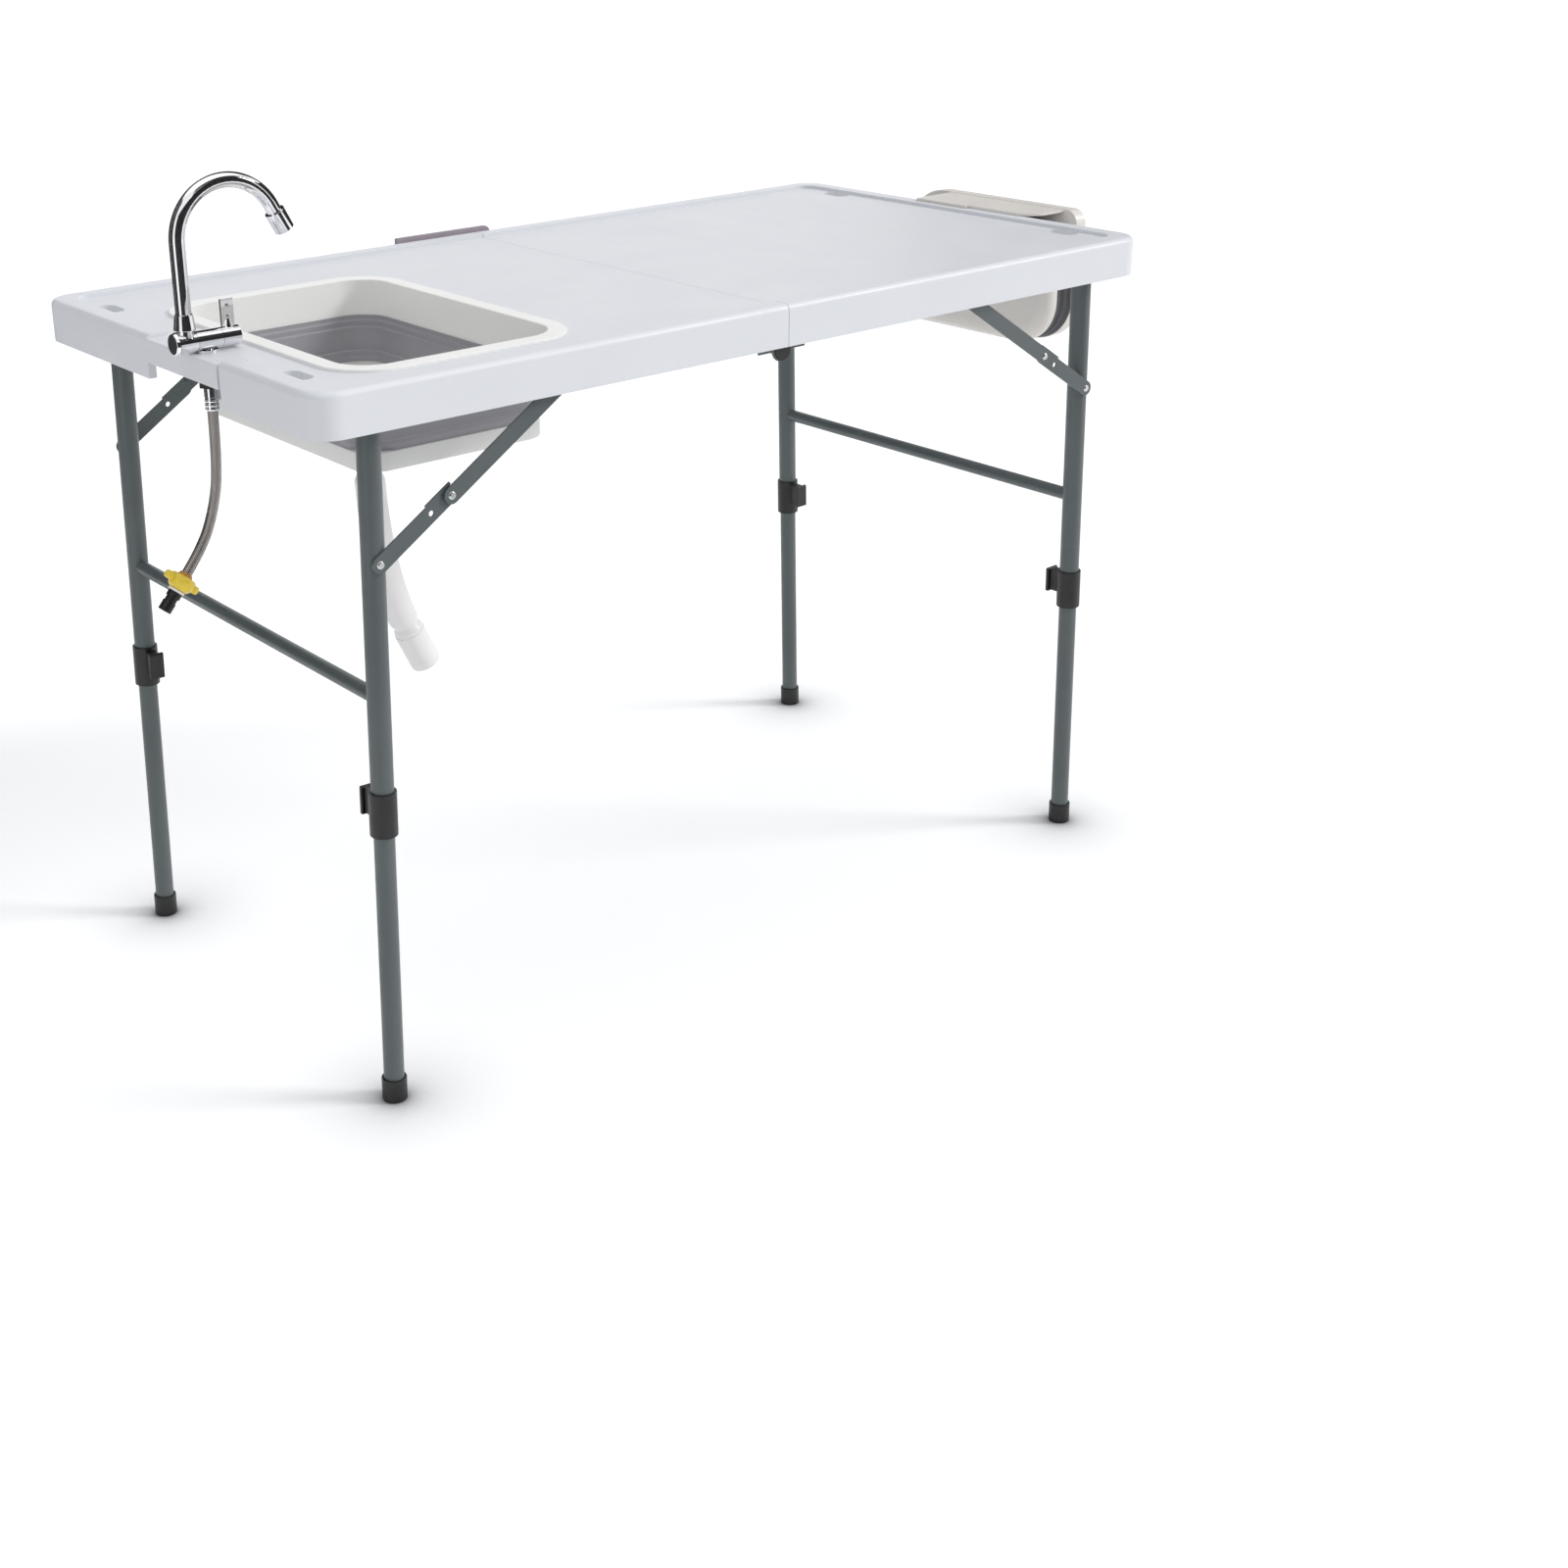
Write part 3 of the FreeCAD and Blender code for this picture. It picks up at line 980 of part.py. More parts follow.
NODES = {
    "left_panel": left_panel, "right_panel": right_panel, "left_rails": left_rails,
         "right_rails": right_rails,
    "centre_hinge_tube": centre_hinge_tube, "centre_hinge_discs": centre_hinge_discs,
         "storage_clips": storage_clips,
    "carry_handle": carry_handle, "back_edge_bar": edge_bar, "faucet_body": faucet_body,
         "faucet_nut": faucet_nut,
    "spout_head": spout_head, "barrel_cap": barrel_cap, "spout_collar": spout_collar, "spout_tube": spout,
    "aerator": aerator, "lever_handle": lever_handle, "inlet_ferrule": inlet_ferrule,
         "inlet_hose": inlet_hose,
    "wing_nut": wing_nut, "quick_coupler": quick_coupler, "sink_rim": sink_rim, "sink_wall": sink_wall,
    "sink_base": sink_base, "drain_fitting": drain_fitting, "drain_plug": drain_plug,
         "drain_hose": drain_hose,
    "drain_cuff": drain_cuff, "second_basin_base": second_basin_base,
         "second_basin_wall": second_basin_wall,
    "second_basin_rim": second_basin_rim, "left_tube_clips": tube_clips[0],
}
for kind, twins in (("pivot_tube", pivot_tube), ("upper_legs", upper_legs), ("cross_bar", cross_bar),
                    ("leg_collars", leg_collars),
                    ("leg_rivets", leg_rivets), ("lower_straps", lower_straps),
                    ("upper_straps", upper_straps),
                    ("knuckle_rivets", knuckle_rivets)):
    NODES["left_" + kind], NODES["right_" + kind] = twins
NODES.update(leg_nodes)

doc.recompute()
for item in doc.Objects:
    if "Invalid" in item.State or "Error" in item.State:
        raise RuntimeError("not sound: " + item.Name)
for name, item in NODES.items():
    if item.Shape.isNull() or not item.Shape.isValid():
        raise RuntimeError("bad shape: " + name)
os.makedirs("parts", exist_ok=True)
whole = FreeCAD.BoundBox()
for name, item in NODES.items():
    item.Label = name
    shape = item.Shape
    shape.exportStep("parts/%s.step" % name)
    whole.add(shape.BoundBox)
    box = shape.BoundBox
    print(name, len(shape.Solids), "solids", round(shape.Volume),
          [round(v, 1) for v in (box.XMin, box.XMax, box.YMin, box.YMax, box.ZMin, box.ZMax)])
print(len(NODES), "nodes", whole)
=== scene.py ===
# The camping sink stand dressed for its picture: camera and cords, finishes, the moulded and soft pieces.
import json
import math
import bpy
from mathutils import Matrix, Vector


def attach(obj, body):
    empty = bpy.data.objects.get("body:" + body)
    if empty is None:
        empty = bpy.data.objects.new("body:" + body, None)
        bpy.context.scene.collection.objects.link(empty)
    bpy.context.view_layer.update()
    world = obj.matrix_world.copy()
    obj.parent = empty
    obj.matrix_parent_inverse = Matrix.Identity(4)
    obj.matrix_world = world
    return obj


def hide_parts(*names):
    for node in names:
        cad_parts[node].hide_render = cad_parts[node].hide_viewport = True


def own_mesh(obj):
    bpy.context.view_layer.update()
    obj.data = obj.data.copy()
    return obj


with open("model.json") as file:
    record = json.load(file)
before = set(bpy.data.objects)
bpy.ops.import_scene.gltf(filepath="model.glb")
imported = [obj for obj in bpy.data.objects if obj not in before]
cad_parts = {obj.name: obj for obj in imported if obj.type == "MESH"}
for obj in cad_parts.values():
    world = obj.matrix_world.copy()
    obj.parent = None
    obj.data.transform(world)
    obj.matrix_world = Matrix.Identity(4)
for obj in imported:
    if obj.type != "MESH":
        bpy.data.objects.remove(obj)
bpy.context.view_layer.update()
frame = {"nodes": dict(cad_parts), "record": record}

nodes = frame["nodes"]
carrier = {node: body for body, members in frame["record"]["behaviour"]["bodies"].items() for node in members}

# Places below are in millimetres from the point under the middle of the worktop.
MM = 1000
SHIFT = Vector((-27.2, -3.0, 0.0))


def at(x, y, z):
    """A place on the stand, in metres of the shared frame."""
    return (Vector((x, y, z)) + SHIFT) / MM


def only(piece):
    """Makes one piece the only one selected, and the active one."""
    bpy.ops.object.select_all(action="DESELECT")
    piece.select_set(True)
    bpy.context.view_layer.objects.active = piece


# Camera at the photograph's viewing angle: its place in metres and its turn in degrees.
CAMERA_PLACE = (-1.52514, -1.95343, 1.25503)
CAMERA_TURN = (69.0882, 1.2257, -37.5307)
bpy.ops.object.camera_add(location=CAMERA_PLACE, rotation=[math.radians(turn) for turn in CAMERA_TURN])
camera = bpy.context.object
camera.data.lens = 48.58
camera.data.sensor_width = 36
camera.data.shift_x = 0.1125
camera.data.shift_y = -0.09375
bpy.context.scene.camera = camera


# Shared effects, each a node group.
def effect(name, inputs, outputs):
    """An empty node group with named sockets."""
    tree = bpy.data.node_groups.new(name, "ShaderNodeTree")
    for label, kind, value in inputs:
        socket = tree.interface.new_socket(label, in_out="INPUT", socket_type="NodeSocket" + kind)
        if value is not None:
            socket.default_value = value
    for label, kind in outputs:
        tree.interface.new_socket(label, in_out="OUTPUT", socket_type="NodeSocket" + kind)
    return tree, tree.nodes.new("NodeGroupInput"), tree.nodes.new("NodeGroupOutput")


def node(tree, kind, **settings):
    """A node with its settings, or its inputs by name, filled in."""
    made = tree.nodes.new("ShaderNode" + kind)
    for label, value in settings.items():
        if label in made.bl_rna.properties:
            setattr(made, label, value)
        else:
            made.inputs[label.replace("_", " ")].default_value = value
    return made


def moulded_grain():
    """The fine pebble and the slow tone change of a moulded or coated surface."""
    tree, given, made = effect("moulded grain", [
        ("Vector", "Vector", None), ("Light", "Color", (0.8, 0.8, 0.8, 1)), ("Dark", "Color", (0.7, 0.7, 0.7, 1)),
        ("Grain Scale", "Float", 900.0), ("Grain Depth", "Float", 0.1), ("Cloud Scale", "Float", 9.0)],
        [("Color", "Color"), ("Normal", "Vector")])
    link = tree.links.new
    clouds = node(tree, "TexNoise", Detail=3.0, Roughness=0.55)
    mix = node(tree, "Mix", data_type="RGBA")
    spread = node(tree, "MapRange", From_Min=0.3, From_Max=0.7)
    pebble = node(tree, "TexNoise", Detail=2.0, Roughness=0.6)
    bump = node(tree, "Bump", Distance=0.0004)
    link(given.outputs["Vector"], clouds.inputs["Vector"])
    link(given.outputs["Cloud Scale"], clouds.inputs["Scale"])
    link(clouds.outputs["Fac"], spread.inputs["Value"])
    link(spread.outputs["Result"], mix.inputs["Factor"])
    link(given.outputs["Light"], mix.inputs["A"])
    link(given.outputs["Dark"], mix.inputs["B"])
    link(given.outputs["Vector"], pebble.inputs["Vector"])
    link(given.outputs["Grain Scale"], pebble.inputs["Scale"])
    link(pebble.outputs["Fac"], bump.inputs["Height"])
    link(given.outputs["Grain Depth"], bump.inputs["Strength"])
    link(mix.outputs["Result"], made.inputs["Color"])
    link(bump.outputs["Normal"], made.inputs["Normal"])
    return tree


def rubbed_patches():
    """Where hands and cloths have rubbed a surface: soft patches crossed by fine scratches."""
    tree, given, made = effect("rubbed patches", [
        ("Vector", "Vector", None), ("Patch Scale", "Float", 14.0), ("Scratch Scale", "Float", 260.0),
        ("Low", "Float", 0.3), ("High", "Float", 0.45)], [("Roughness", "Float")])
    link = tree.links.new
    stretch = node(tree, "Mapping", Scale=(1.0, 0.06, 0.3), Rotation=(0.2, 0.4, 0.7))
    scratches = node(tree, "TexNoise", Detail=2.0)
    patches = node(tree, "TexNoise", Detail=4.0, Roughness=0.6)
    both = node(tree, "Math", operation="MULTIPLY")
    level = node(tree, "MapRange", From_Min=0.15, From_Max=0.4)
    link(given.outputs["Vector"], stretch.inputs["Vector"])
    link(stretch.outputs["Vector"], scratches.inputs["Vector"])
    link(given.outputs["Scratch Scale"], scratches.inputs["Scale"])
    link(given.outputs["Vector"], patches.inputs["Vector"])
    link(given.outputs["Patch Scale"], patches.inputs["Scale"])
    link(scratches.outputs["Fac"], both.inputs[0])
    link(patches.outputs["Fac"], both.inputs[1])
    link(both.outputs["Value"], level.inputs["Value"])
    link(given.outputs["Low"], level.inputs["To Min"])
    link(given.outputs["High"], level.inputs["To Max"])
    link(level.outputs["Result"], made.inputs["Roughness"])
    return tree


GRAIN, RUBBED = moulded_grain(), rubbed_patches()


def finish(name, light, dark, rough, grain, metal=0.0):
    """A material with a slow tone change, rubbed patches and a grain, over the object's own place.

    The tone runs between light and dark; rough and grain are pairs: least and most, scale and depth."""
    made = bpy.data.materials.new(name)
    made.use_nodes = True
    tree = made.node_tree
    shader = tree.nodes["Principled BSDF"]
    shader.inputs["Metallic"].default_value = metal
    place = tree.nodes.new("ShaderNodeTexCoord")
    surface = tree.nodes.new("ShaderNodeGroup")
    surface.node_tree = GRAIN
    surface.inputs["Light"].default_value = (*light, 1)
    surface.inputs["Dark"].default_value = (*dark, 1)
    surface.inputs["Grain Scale"].default_value, surface.inputs["Grain Depth"].default_value = grain
    rub = tree.nodes.new("ShaderNodeGroup")
    rub.node_tree = RUBBED
    rub.inputs["Low"].default_value, rub.inputs["High"].default_value = rough
    link = tree.links.new
    link(place.outputs["Object"], surface.inputs["Vector"])
    link(place.outputs["Object"], rub.inputs["Vector"])
    link(surface.outputs["Color"], shader.inputs["Base Color"])
    link(surface.outputs["Normal"], shader.inputs["Normal"])
    link(rub.outputs["Roughness"], shader.inputs["Roughness"])
    return made


worktop_white = finish("blow-moulded white", (0.755, 0.77, 0.805), (0.735, 0.75, 0.785),
                       (0.36, 0.50), (1100.0, 0.10))
frame_grey = finish("grey-green powder coat", (0.104, 0.123, 0.125), (0.088, 0.105, 0.107),
                    (0.30, 0.46), (700.0, 0.22))
black_nylon = finish("black nylon", (0.012, 0.012, 0.013), (0.008, 0.008, 0.009), (0.34, 0.5), (1300.0, 0.18))
chrome = finish("bright chrome", (0.86, 0.86, 0.87), (0.82, 0.82, 0.84), (0.02, 0.05), (300.0, 0.0), metal=1.0)
zinc = finish("zinc-plated steel", (0.66, 0.66, 0.67), (0.55, 0.55, 0.56), (0.22, 0.36), (800.0, 0.08), metal=1.0)
sink_white = finish("glossy sink white", (0.90, 0.90, 0.875), (0.885, 0.885, 0.86), (0.30, 0.38), (600.0, 0.0))
soft_grey = finish("soft grey wall", (0.33, 0.327, 0.35), (0.30, 0.297, 0.32), (0.42, 0.6), (1400.0, 0.14))
soft_dark = finish("soft dark wall", (0.062, 0.062, 0.07), (0.05, 0.05, 0.057), (0.42, 0.6), (1400.0, 0.14))
cream = finish("cream basin", (0.80, 0.765, 0.72), (0.775, 0.74, 0.695), (0.28, 0.42), (800.0, 0.06))
hose_white = finish("white drain hose", (0.90, 0.885, 0.885), (0.87, 0.855, 0.855), (0.3, 0.45), (800.0, 0.08))
yellow = finish("yellow nut", (0.90, 0.68, 0.06), (0.84, 0.60, 0.05), (0.25, 0.4), (900.0, 0.06))
amber = finish("amber washer", (0.58, 0.25, 0.02), (0.50, 0.20, 0.015), (0.2, 0.35), (900.0, 0.06))
mauve = finish("grey-mauve bar", (0.34, 0.295, 0.34), (0.31, 0.268, 0.31), (0.38, 0.52), (900.0, 0.12))


# Pieces that keep their solids' form get eased edges and smooth faces.
SOLID_CREASE, WALL_CREASE, TUBE_CREASE = (math.radians(angle) for angle in (38, 40, 50))
SAME_PLANE = math.radians(0.6)
EASE_STEPS = 2


def dress(name, material, ease):
    """A merged copy of a node's solid with its edges eased by so many metres, which stands for that node."""
    piece = bpy.data.objects.new(name + "_dressed", nodes[name].data.copy())
    bpy.context.scene.collection.objects.link(piece)
    only(piece)
    bpy.ops.object.mode_set(mode="EDIT")
    bpy.ops.mesh.select_all(action="SELECT")
    bpy.ops.mesh.remove_doubles(threshold=0.00001)
    bpy.ops.mesh.customdata_custom_splitnormals_clear()
    bpy.ops.mesh.dissolve_limited(angle_limit=SAME_PLANE)
    bpy.ops.object.mode_set(mode="OBJECT")
    if ease:
        edge = piece.modifiers.new("eased edges", "BEVEL")
        edge.width = ease
        edge.segments = EASE_STEPS
        edge.limit_method = "ANGLE"
        edge.angle_limit = SOLID_CREASE
        edge.harden_normals = False
        bpy.ops.object.modifier_apply(modifier=edge.name)
    bpy.ops.object.shade_smooth_by_angle(angle=SOLID_CREASE)
    weigh = piece.modifiers.new("weighted normals", "WEIGHTED_NORMAL")
    weigh.keep_sharp = True
    bpy.ops.object.modifier_apply(modifier=weigh.name)
    piece.data.materials.clear()
    piece.data.materials.append(material)
    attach(piece, carrier[name])
    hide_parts(name)


# Each finish with its nodes and how far their edges are eased, in metres.
FINISHES = {
    worktop_white: [("left_panel", 0.0015), ("right_panel", 0.0015)],
    frame_grey: [("left_rails", 0.0005), ("right_rails", 0.0005), ("centre_hinge_tube", 0.0005),
                 ("left_upper_straps", 0.0005), ("right_upper_straps", 0.0005),
                 ("left_lower_straps", 0.0005), ("right_lower_straps", 0.0005)],
    black_nylon: [("storage_clips", 0.0006), ("left_tube_clips", 0.0006), ("centre_hinge_discs", 0.0004),
                  ("carry_handle", 0.002), ("faucet_nut", 0.0008), ("quick_coupler", 0.0006)],
    chrome: [("faucet_body", 0.0006), ("spout_head", 0.0006), ("barrel_cap", 0.0008), ("spout_collar", 0.0008),
             ("spout_tube", 0.0), ("aerator", 0.0008), ("lever_handle", 0.0008), ("inlet_ferrule", 0.0006)],
    sink_white: [("sink_rim", 0.0), ("sink_base", 0.005), ("drain_fitting", 0.0005), ("drain_plug", 0.0008)],
    cream: [("second_basin_base", 0.002), ("second_basin_rim", 0.0012)],
    mauve: [("back_edge_bar", 0.001)],
    hose_white: [("drain_cuff", 0.001)],
}
for side in ("left", "right"):
    FINISHES[frame_grey] += [("%s_%s" % (side, part), 0.0005)
                             for part in ("pivot_tube", "upper_legs", "cross_bar")]
    FINISHES[black_nylon] += [(side + "_leg_collars", 0.0018)]
    FINISHES.setdefault(zinc, []).extend([(side + "_leg_rivets", 0.0004), (side + "_knuckle_rivets", 0.0004)])
    for end in ("back", "front"):
        FINISHES[frame_grey] += [("%s_%s_lower_leg" % (side, end), 0.0004)]
        FINISHES[black_nylon] += [("%s_%s_foot" % (side, end), 0.0024),
                                  ("%s_%s_cam_lever" % (side, end), 0.001)]
for material, entries in FINISHES.items():
    for name, ease in entries:
        dress(name, material, ease)


# Turned pieces: the wing nut, small details of the hose's end and the marks on the tap's paddle.
def turned(name, base, aim, outline, material, body, sides=48):
    """A piece turned about an axis; its outline gives how far along and how wide, in millimetres.

    An outline that starts on the axis is open and ends there too; any other is closed."""
    along = Vector(aim).normalized()
    across = along.orthogonal().normalized()
    third = along.cross(across)
    corners, faces, rows = [], [], len(outline)
    for far, wide in outline:
        for k in range(sides):
            turn = 2 * math.pi * k / sides
            outward = across * math.cos(turn) + third * math.sin(turn)
            corners.append(at(*base) + (along * far + outward * wide) / MM)
    for n in range(rows if outline[0][1] else rows - 1):
        for k in range(sides):
            after, beside = (n + 1) % rows, (k + 1) % sides
            faces.append((n * sides + k, n * sides + beside, after * sides + beside, after * sides + k))
    mesh = bpy.data.meshes.new(name)
    mesh.from_pydata([tuple(c) for c in corners], [], faces)
    piece = bpy.data.objects.new(name, mesh)
    bpy.context.scene.collection.objects.link(piece)
    only(piece)
    bpy.ops.object.mode_set(mode="EDIT")
    bpy.ops.mesh.select_all(action="SELECT")
    bpy.ops.mesh.remove_doubles(threshold=0.000001)
    bpy.ops.mesh.normals_make_consistent(inside=False)
    bpy.ops.object.mode_set(mode="OBJECT")
    bpy.ops.object.shade_smooth_by_angle(angle=WALL_CREASE)
    mesh.materials.append(material)
    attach(piece, body)
    return piece


# The lower end of the inlet hose, the way it points there and the way to the wing nut's ears.
HOSE_END = (-609, -58, 549)
HOSE_AIM = Vector((-24, -1, -27)).normalized()
EAR_AIM = Vector((0.747, 0, -0.664))
EAR_ALONG, EAR_OUT = 5.2, 16.2
NUT = [(0.6, 10.2), (-0.6, 10.6), (-1.2, 11.4), (-0.9, 12.6), (0.4, 13.7), (2.6, 14.3), (5.5, 14.3),
       (8.5, 13.6), (11.2, 12.2), (13.2, 10.2), (14.1, 8.4), (14.1, 6.3), (3.0, 6.3), (3.0, 10.0)]
EAR = [(-4.2, 0.0), (-4.2, 3.2), (-3.7, 4.6), (-2.5, 5.5), (0.0, 5.8),
       (2.5, 5.5), (3.7, 4.6), (4.2, 3.2), (4.2, 0.0)]
CONE = [(-5.0, 5.7), (-5.0, 6.3), (-3.6, 7.0), (0.2, 9.2), (2.6, 9.8), (2.6, 5.7)]
WASHER = [(14.4, 6.3), (14.4, 8.6), (15.0, 9.1), (16.4, 9.1), (17.0, 8.6), (17.0, 6.3)]
CRIMP = [(0.0, 6.5), (0.3, 7.1), (1.3, 7.3), (2.3, 7.1), (2.6, 6.5)]
MARK = [(0.0, 0.0), (0.0, 2.4), (0.35, 2.2), (0.6, 1.4), (0.7, 0.0)]
FERRULE_TOP = (-559, -55, 730)
PADDLE_X, PADDLE_FACE = -533.8, -56.4

nut = turned("wing_nut_ring", HOSE_END, HOSE_AIM, NUT, yellow, carrier["wing_nut"], 72)
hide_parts("wing_nut")
for n, way in enumerate((-1, 1)):
    middle = Vector(HOSE_END) + HOSE_AIM * EAR_ALONG + EAR_AIM * (EAR_OUT * way)
    turned("wing_nut_ear_%d" % n, middle, HOSE_AIM, EAR, yellow, carrier["wing_nut"])
turned("nut_cone", HOSE_END, HOSE_AIM, CONE, amber, "left_top")
turned("nut_washer", HOSE_END, HOSE_AIM, WASHER, hose_white, "left_top")
for n, start in enumerate((2.5, 7.0, 11.0)):
    turned("ferrule_crimp_%d" % n, FERRULE_TOP, (0, 0, -1), [(start + far, wide) for far, wide in CRIMP],
           chrome, "left_top")
for n, height in enumerate((808, 819)):
    turned("paddle_mark_%d" % n, (PADDLE_X, PADDLE_FACE, height), (0, -1, 0), MARK,
           zinc, "tap_handle", 24)


# Cords: the route's points, a smooth line along them and a tube round that line.
def line_along(name, points):
    """The smooth line of a cord, as a list of places from one end to the other."""
    curve = bpy.data.curves.new(name + "_line", "CURVE")
    curve.dimensions = "3D"
    curve.resolution_u = 24
    spline = curve.splines.new("NURBS")
    spline.points.add(len(points) - 1)
    for point, place in zip(spline.points, points):
        point.co = (*place, 1)
    spline.order_u = 3
    spline.use_endpoint_u = True
    holder = bpy.data.objects.new(name + "_line", curve)
    bpy.context.scene.collection.objects.link(holder)
    bpy.context.view_layer.update()
    mesh = bpy.data.meshes.new_from_object(holder)
    line = [vertex.co.copy() for vertex in mesh.vertices]
    bpy.data.objects.remove(holder)
    return line


SHORTEST_STEP = 0.4


def steady(line, step):
    """The line's places at an even step, with how far along each lies; a very short last step joins the one
    before it."""
    made, gone, target = [(line[0], 0.0)], 0.0, step
    for first, last in zip(line, line[1:]):
        run = (last - first).length
        while run and target <= gone + run:
            made.append((first.lerp(last, (target - gone) / run), target))
            target += step
        gone += run
    if gone - made[-1][1] > step * SHORTEST_STEP:
        made.append((line[-1], gone))
    else:
        made[-1] = (line[-1], gone)
    return made


UV_PER_METRE = 100


def tube_round(name, line, step, radius, sides, material):
    """A tube round a line; its radius may follow how far along a place is."""
    places = steady(line, step)
    total = places[-1][1]
    corners, faces, side = [], [], None
    for n, (place, gone) in enumerate(places):
        ahead = places[min(n + 1, len(places) - 1)][0] - places[max(n - 1, 0)][0]
        ahead.normalize()
        side = (ahead.cross(Vector((0, 1, 0))) if side is None else side - ahead * side.dot(ahead)).normalized()
        up = ahead.cross(side)
        reach = radius(gone, total) if callable(radius) else radius
        for k in range(sides):
            turn = 2 * math.pi * k / sides
            corners.append(place + (side * math.cos(turn) + up * math.sin(turn)) * reach)
    rings = len(places)
    for n in range(rings - 1):
        for k in range(sides):
            here, beside = n * sides + k, n * sides + (k + 1) % sides
            faces.append((here, beside, beside + sides, here + sides))
    faces.append(tuple(range(sides - 1, -1, -1)))
    faces.append(tuple((rings - 1) * sides + k for k in range(sides)))
    mesh = bpy.data.meshes.new(name)
    mesh.from_pydata([tuple(c) for c in corners], [], faces)
    sheet = mesh.uv_layers.new(name="round and along")
    for face in mesh.polygons:
        closing = len(face.vertices) == 4 and sides - 1 in [corner % sides for corner in face.vertices]
        for loop in face.loop_indices:
            row, k = divmod(mesh.loops[loop].vertex_index, sides)
            lap = 1.0 if closing and k == 0 else 0.0
            sheet.data[loop].uv = (k / sides + lap, places[row][1] * UV_PER_METRE)
    piece = bpy.data.objects.new(name, mesh)
    bpy.context.scene.collection.objects.link(piece)
    only(piece)
    bpy.ops.object.mode_set(mode="EDIT")
    bpy.ops.mesh.select_all(action="SELECT")
    bpy.ops.mesh.normals_make_consistent(inside=False)
    bpy.ops.object.mode_set(mode="OBJECT")
    bpy.ops.object.shade_smooth_by_angle(angle=TUBE_CREASE)
    mesh.materials.append(material)
    return piece


DRAIN_EXIT = (-350, 0, 648)
DRAIN_ROUTE = [(0, 0, 0), (0, 0, -75), (9, 0, -150), (26, 0, -217), (40, 0, -247)]
drain_line = line_along("drain", [at(*[a + b for a, b in zip(DRAIN_EXIT, p)]) for p in DRAIN_ROUTE])


# The drain hose in metres: its radius above and below the upper neck, and how far each neck lies from its end.
ABOVE_NECK, BELOW_NECK = 0.0160, 0.0172
UPPER_NECK, CUFF_NECK = 0.052, 0.010


def drain_girth(gone, total):
    """The drain hose's radius: plain lengths, with a neck near the top and one above the cuff."""
    girth = ABOVE_NECK if gone < UPPER_NECK else BELOW_NECK
    for neck, depth, reach in ((UPPER_NECK, 0.0030, 0.0045), (total - CUFF_NECK, 0.0032, 0.0040)):
        girth -= depth * math.exp(-((gone - neck) / reach) ** 2)
    return girth


drain_hose = tube_round("drain_hose_smooth", drain_line, 0.0015, drain_girth, 40, hose_white)
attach(drain_hose, carrier["drain_hose"])
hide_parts("drain_hose")

INLET_EXIT = (-559, -55, 716)
INLET_ROUTE = [(0, 0, 0), (0, 0, -60), (-9, -1, -102), (-26, -2, -140), (-50, -3, -167)]
inlet_line = line_along("inlet", [at(*[a + b for a, b in zip(INLET_EXIT, p)]) for p in INLET_ROUTE])


# Wire bundles round the hose, how fast they wind along it, and the dark between them.
BUNDLES, WINDING = 8.0, 4.2
BRAID_GAP = (0.035, 0.03, 0.028, 1)


def braid_finish():
    """Woven steel wire: flat bundles crossing both ways round the hose, dark between them."""
    made = finish("woven steel braid", (0.60, 0.56, 0.53), (0.42, 0.39, 0.37), (0.24, 0.42), (900.0, 0.1),
                  metal=0.9)
    tree = made.node_tree
    shader = tree.nodes["Principled BSDF"]
    link = tree.links.new
    where = node(tree, "UVMap", uv_map="round and along")
    split = node(tree, "SeparateXYZ")
    link(where.outputs["UV"], split.inputs["Vector"])
    ridges = []
    for way in (1.0, -1.0):
        turns = node(tree, "Math", operation="MULTIPLY")
        turns.inputs[1].default_value = BUNDLES * way
        lean = node(tree, "Math", operation="MULTIPLY_ADD")
        lean.inputs[1].default_value = WINDING
        cycle = node(tree, "Math", operation="FRACT")
        ridge = node(tree, "Math", operation="PINGPONG")
        ridge.inputs[1].default_value = 0.5
        link(split.outputs["X"], turns.inputs[0])
        link(split.outputs["Y"], lean.inputs[0])
        link(turns.outputs["Value"], lean.inputs[2])
        link(lean.outputs["Value"], cycle.inputs[0])
        link(cycle.outputs["Value"], ridge.inputs[0])
        ridges.append(ridge)
    top = node(tree, "Math", operation="MAXIMUM")
    link(ridges[0].outputs["Value"], top.inputs[0])
    link(ridges[1].outputs["Value"], top.inputs[1])
    mask = node(tree, "MapRange", From_Min=0.24, From_Max=0.36)
    link(top.outputs["Value"], mask.inputs["Value"])
    shade = node(tree, "Mix", data_type="RGBA", A=BRAID_GAP)
    link(mask.outputs["Result"], shade.inputs["Factor"])
    wire = shader.inputs["Base Color"].links[0].from_socket
    link(wire, shade.inputs["B"])
    link(shade.outputs["Result"], shader.inputs["Base Color"])
    bump = node(tree, "Bump", Distance=0.0006, Strength=0.9)
    link(top.outputs["Value"], bump.inputs["Height"])
    link(bump.outputs["Normal"], shader.inputs["Normal"])
    return made


inlet_hose = tube_round("inlet_hose_braided", inlet_line, 0.002, 0.0055, 32, braid_finish())
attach(inlet_hose, carrier["inlet_hose"])
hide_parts("inlet_hose")


# Soft walls: a ring of a rounded outline, drawn out step by step.
WALL_THICKNESS = 2.4
CORNER_STEPS = 14


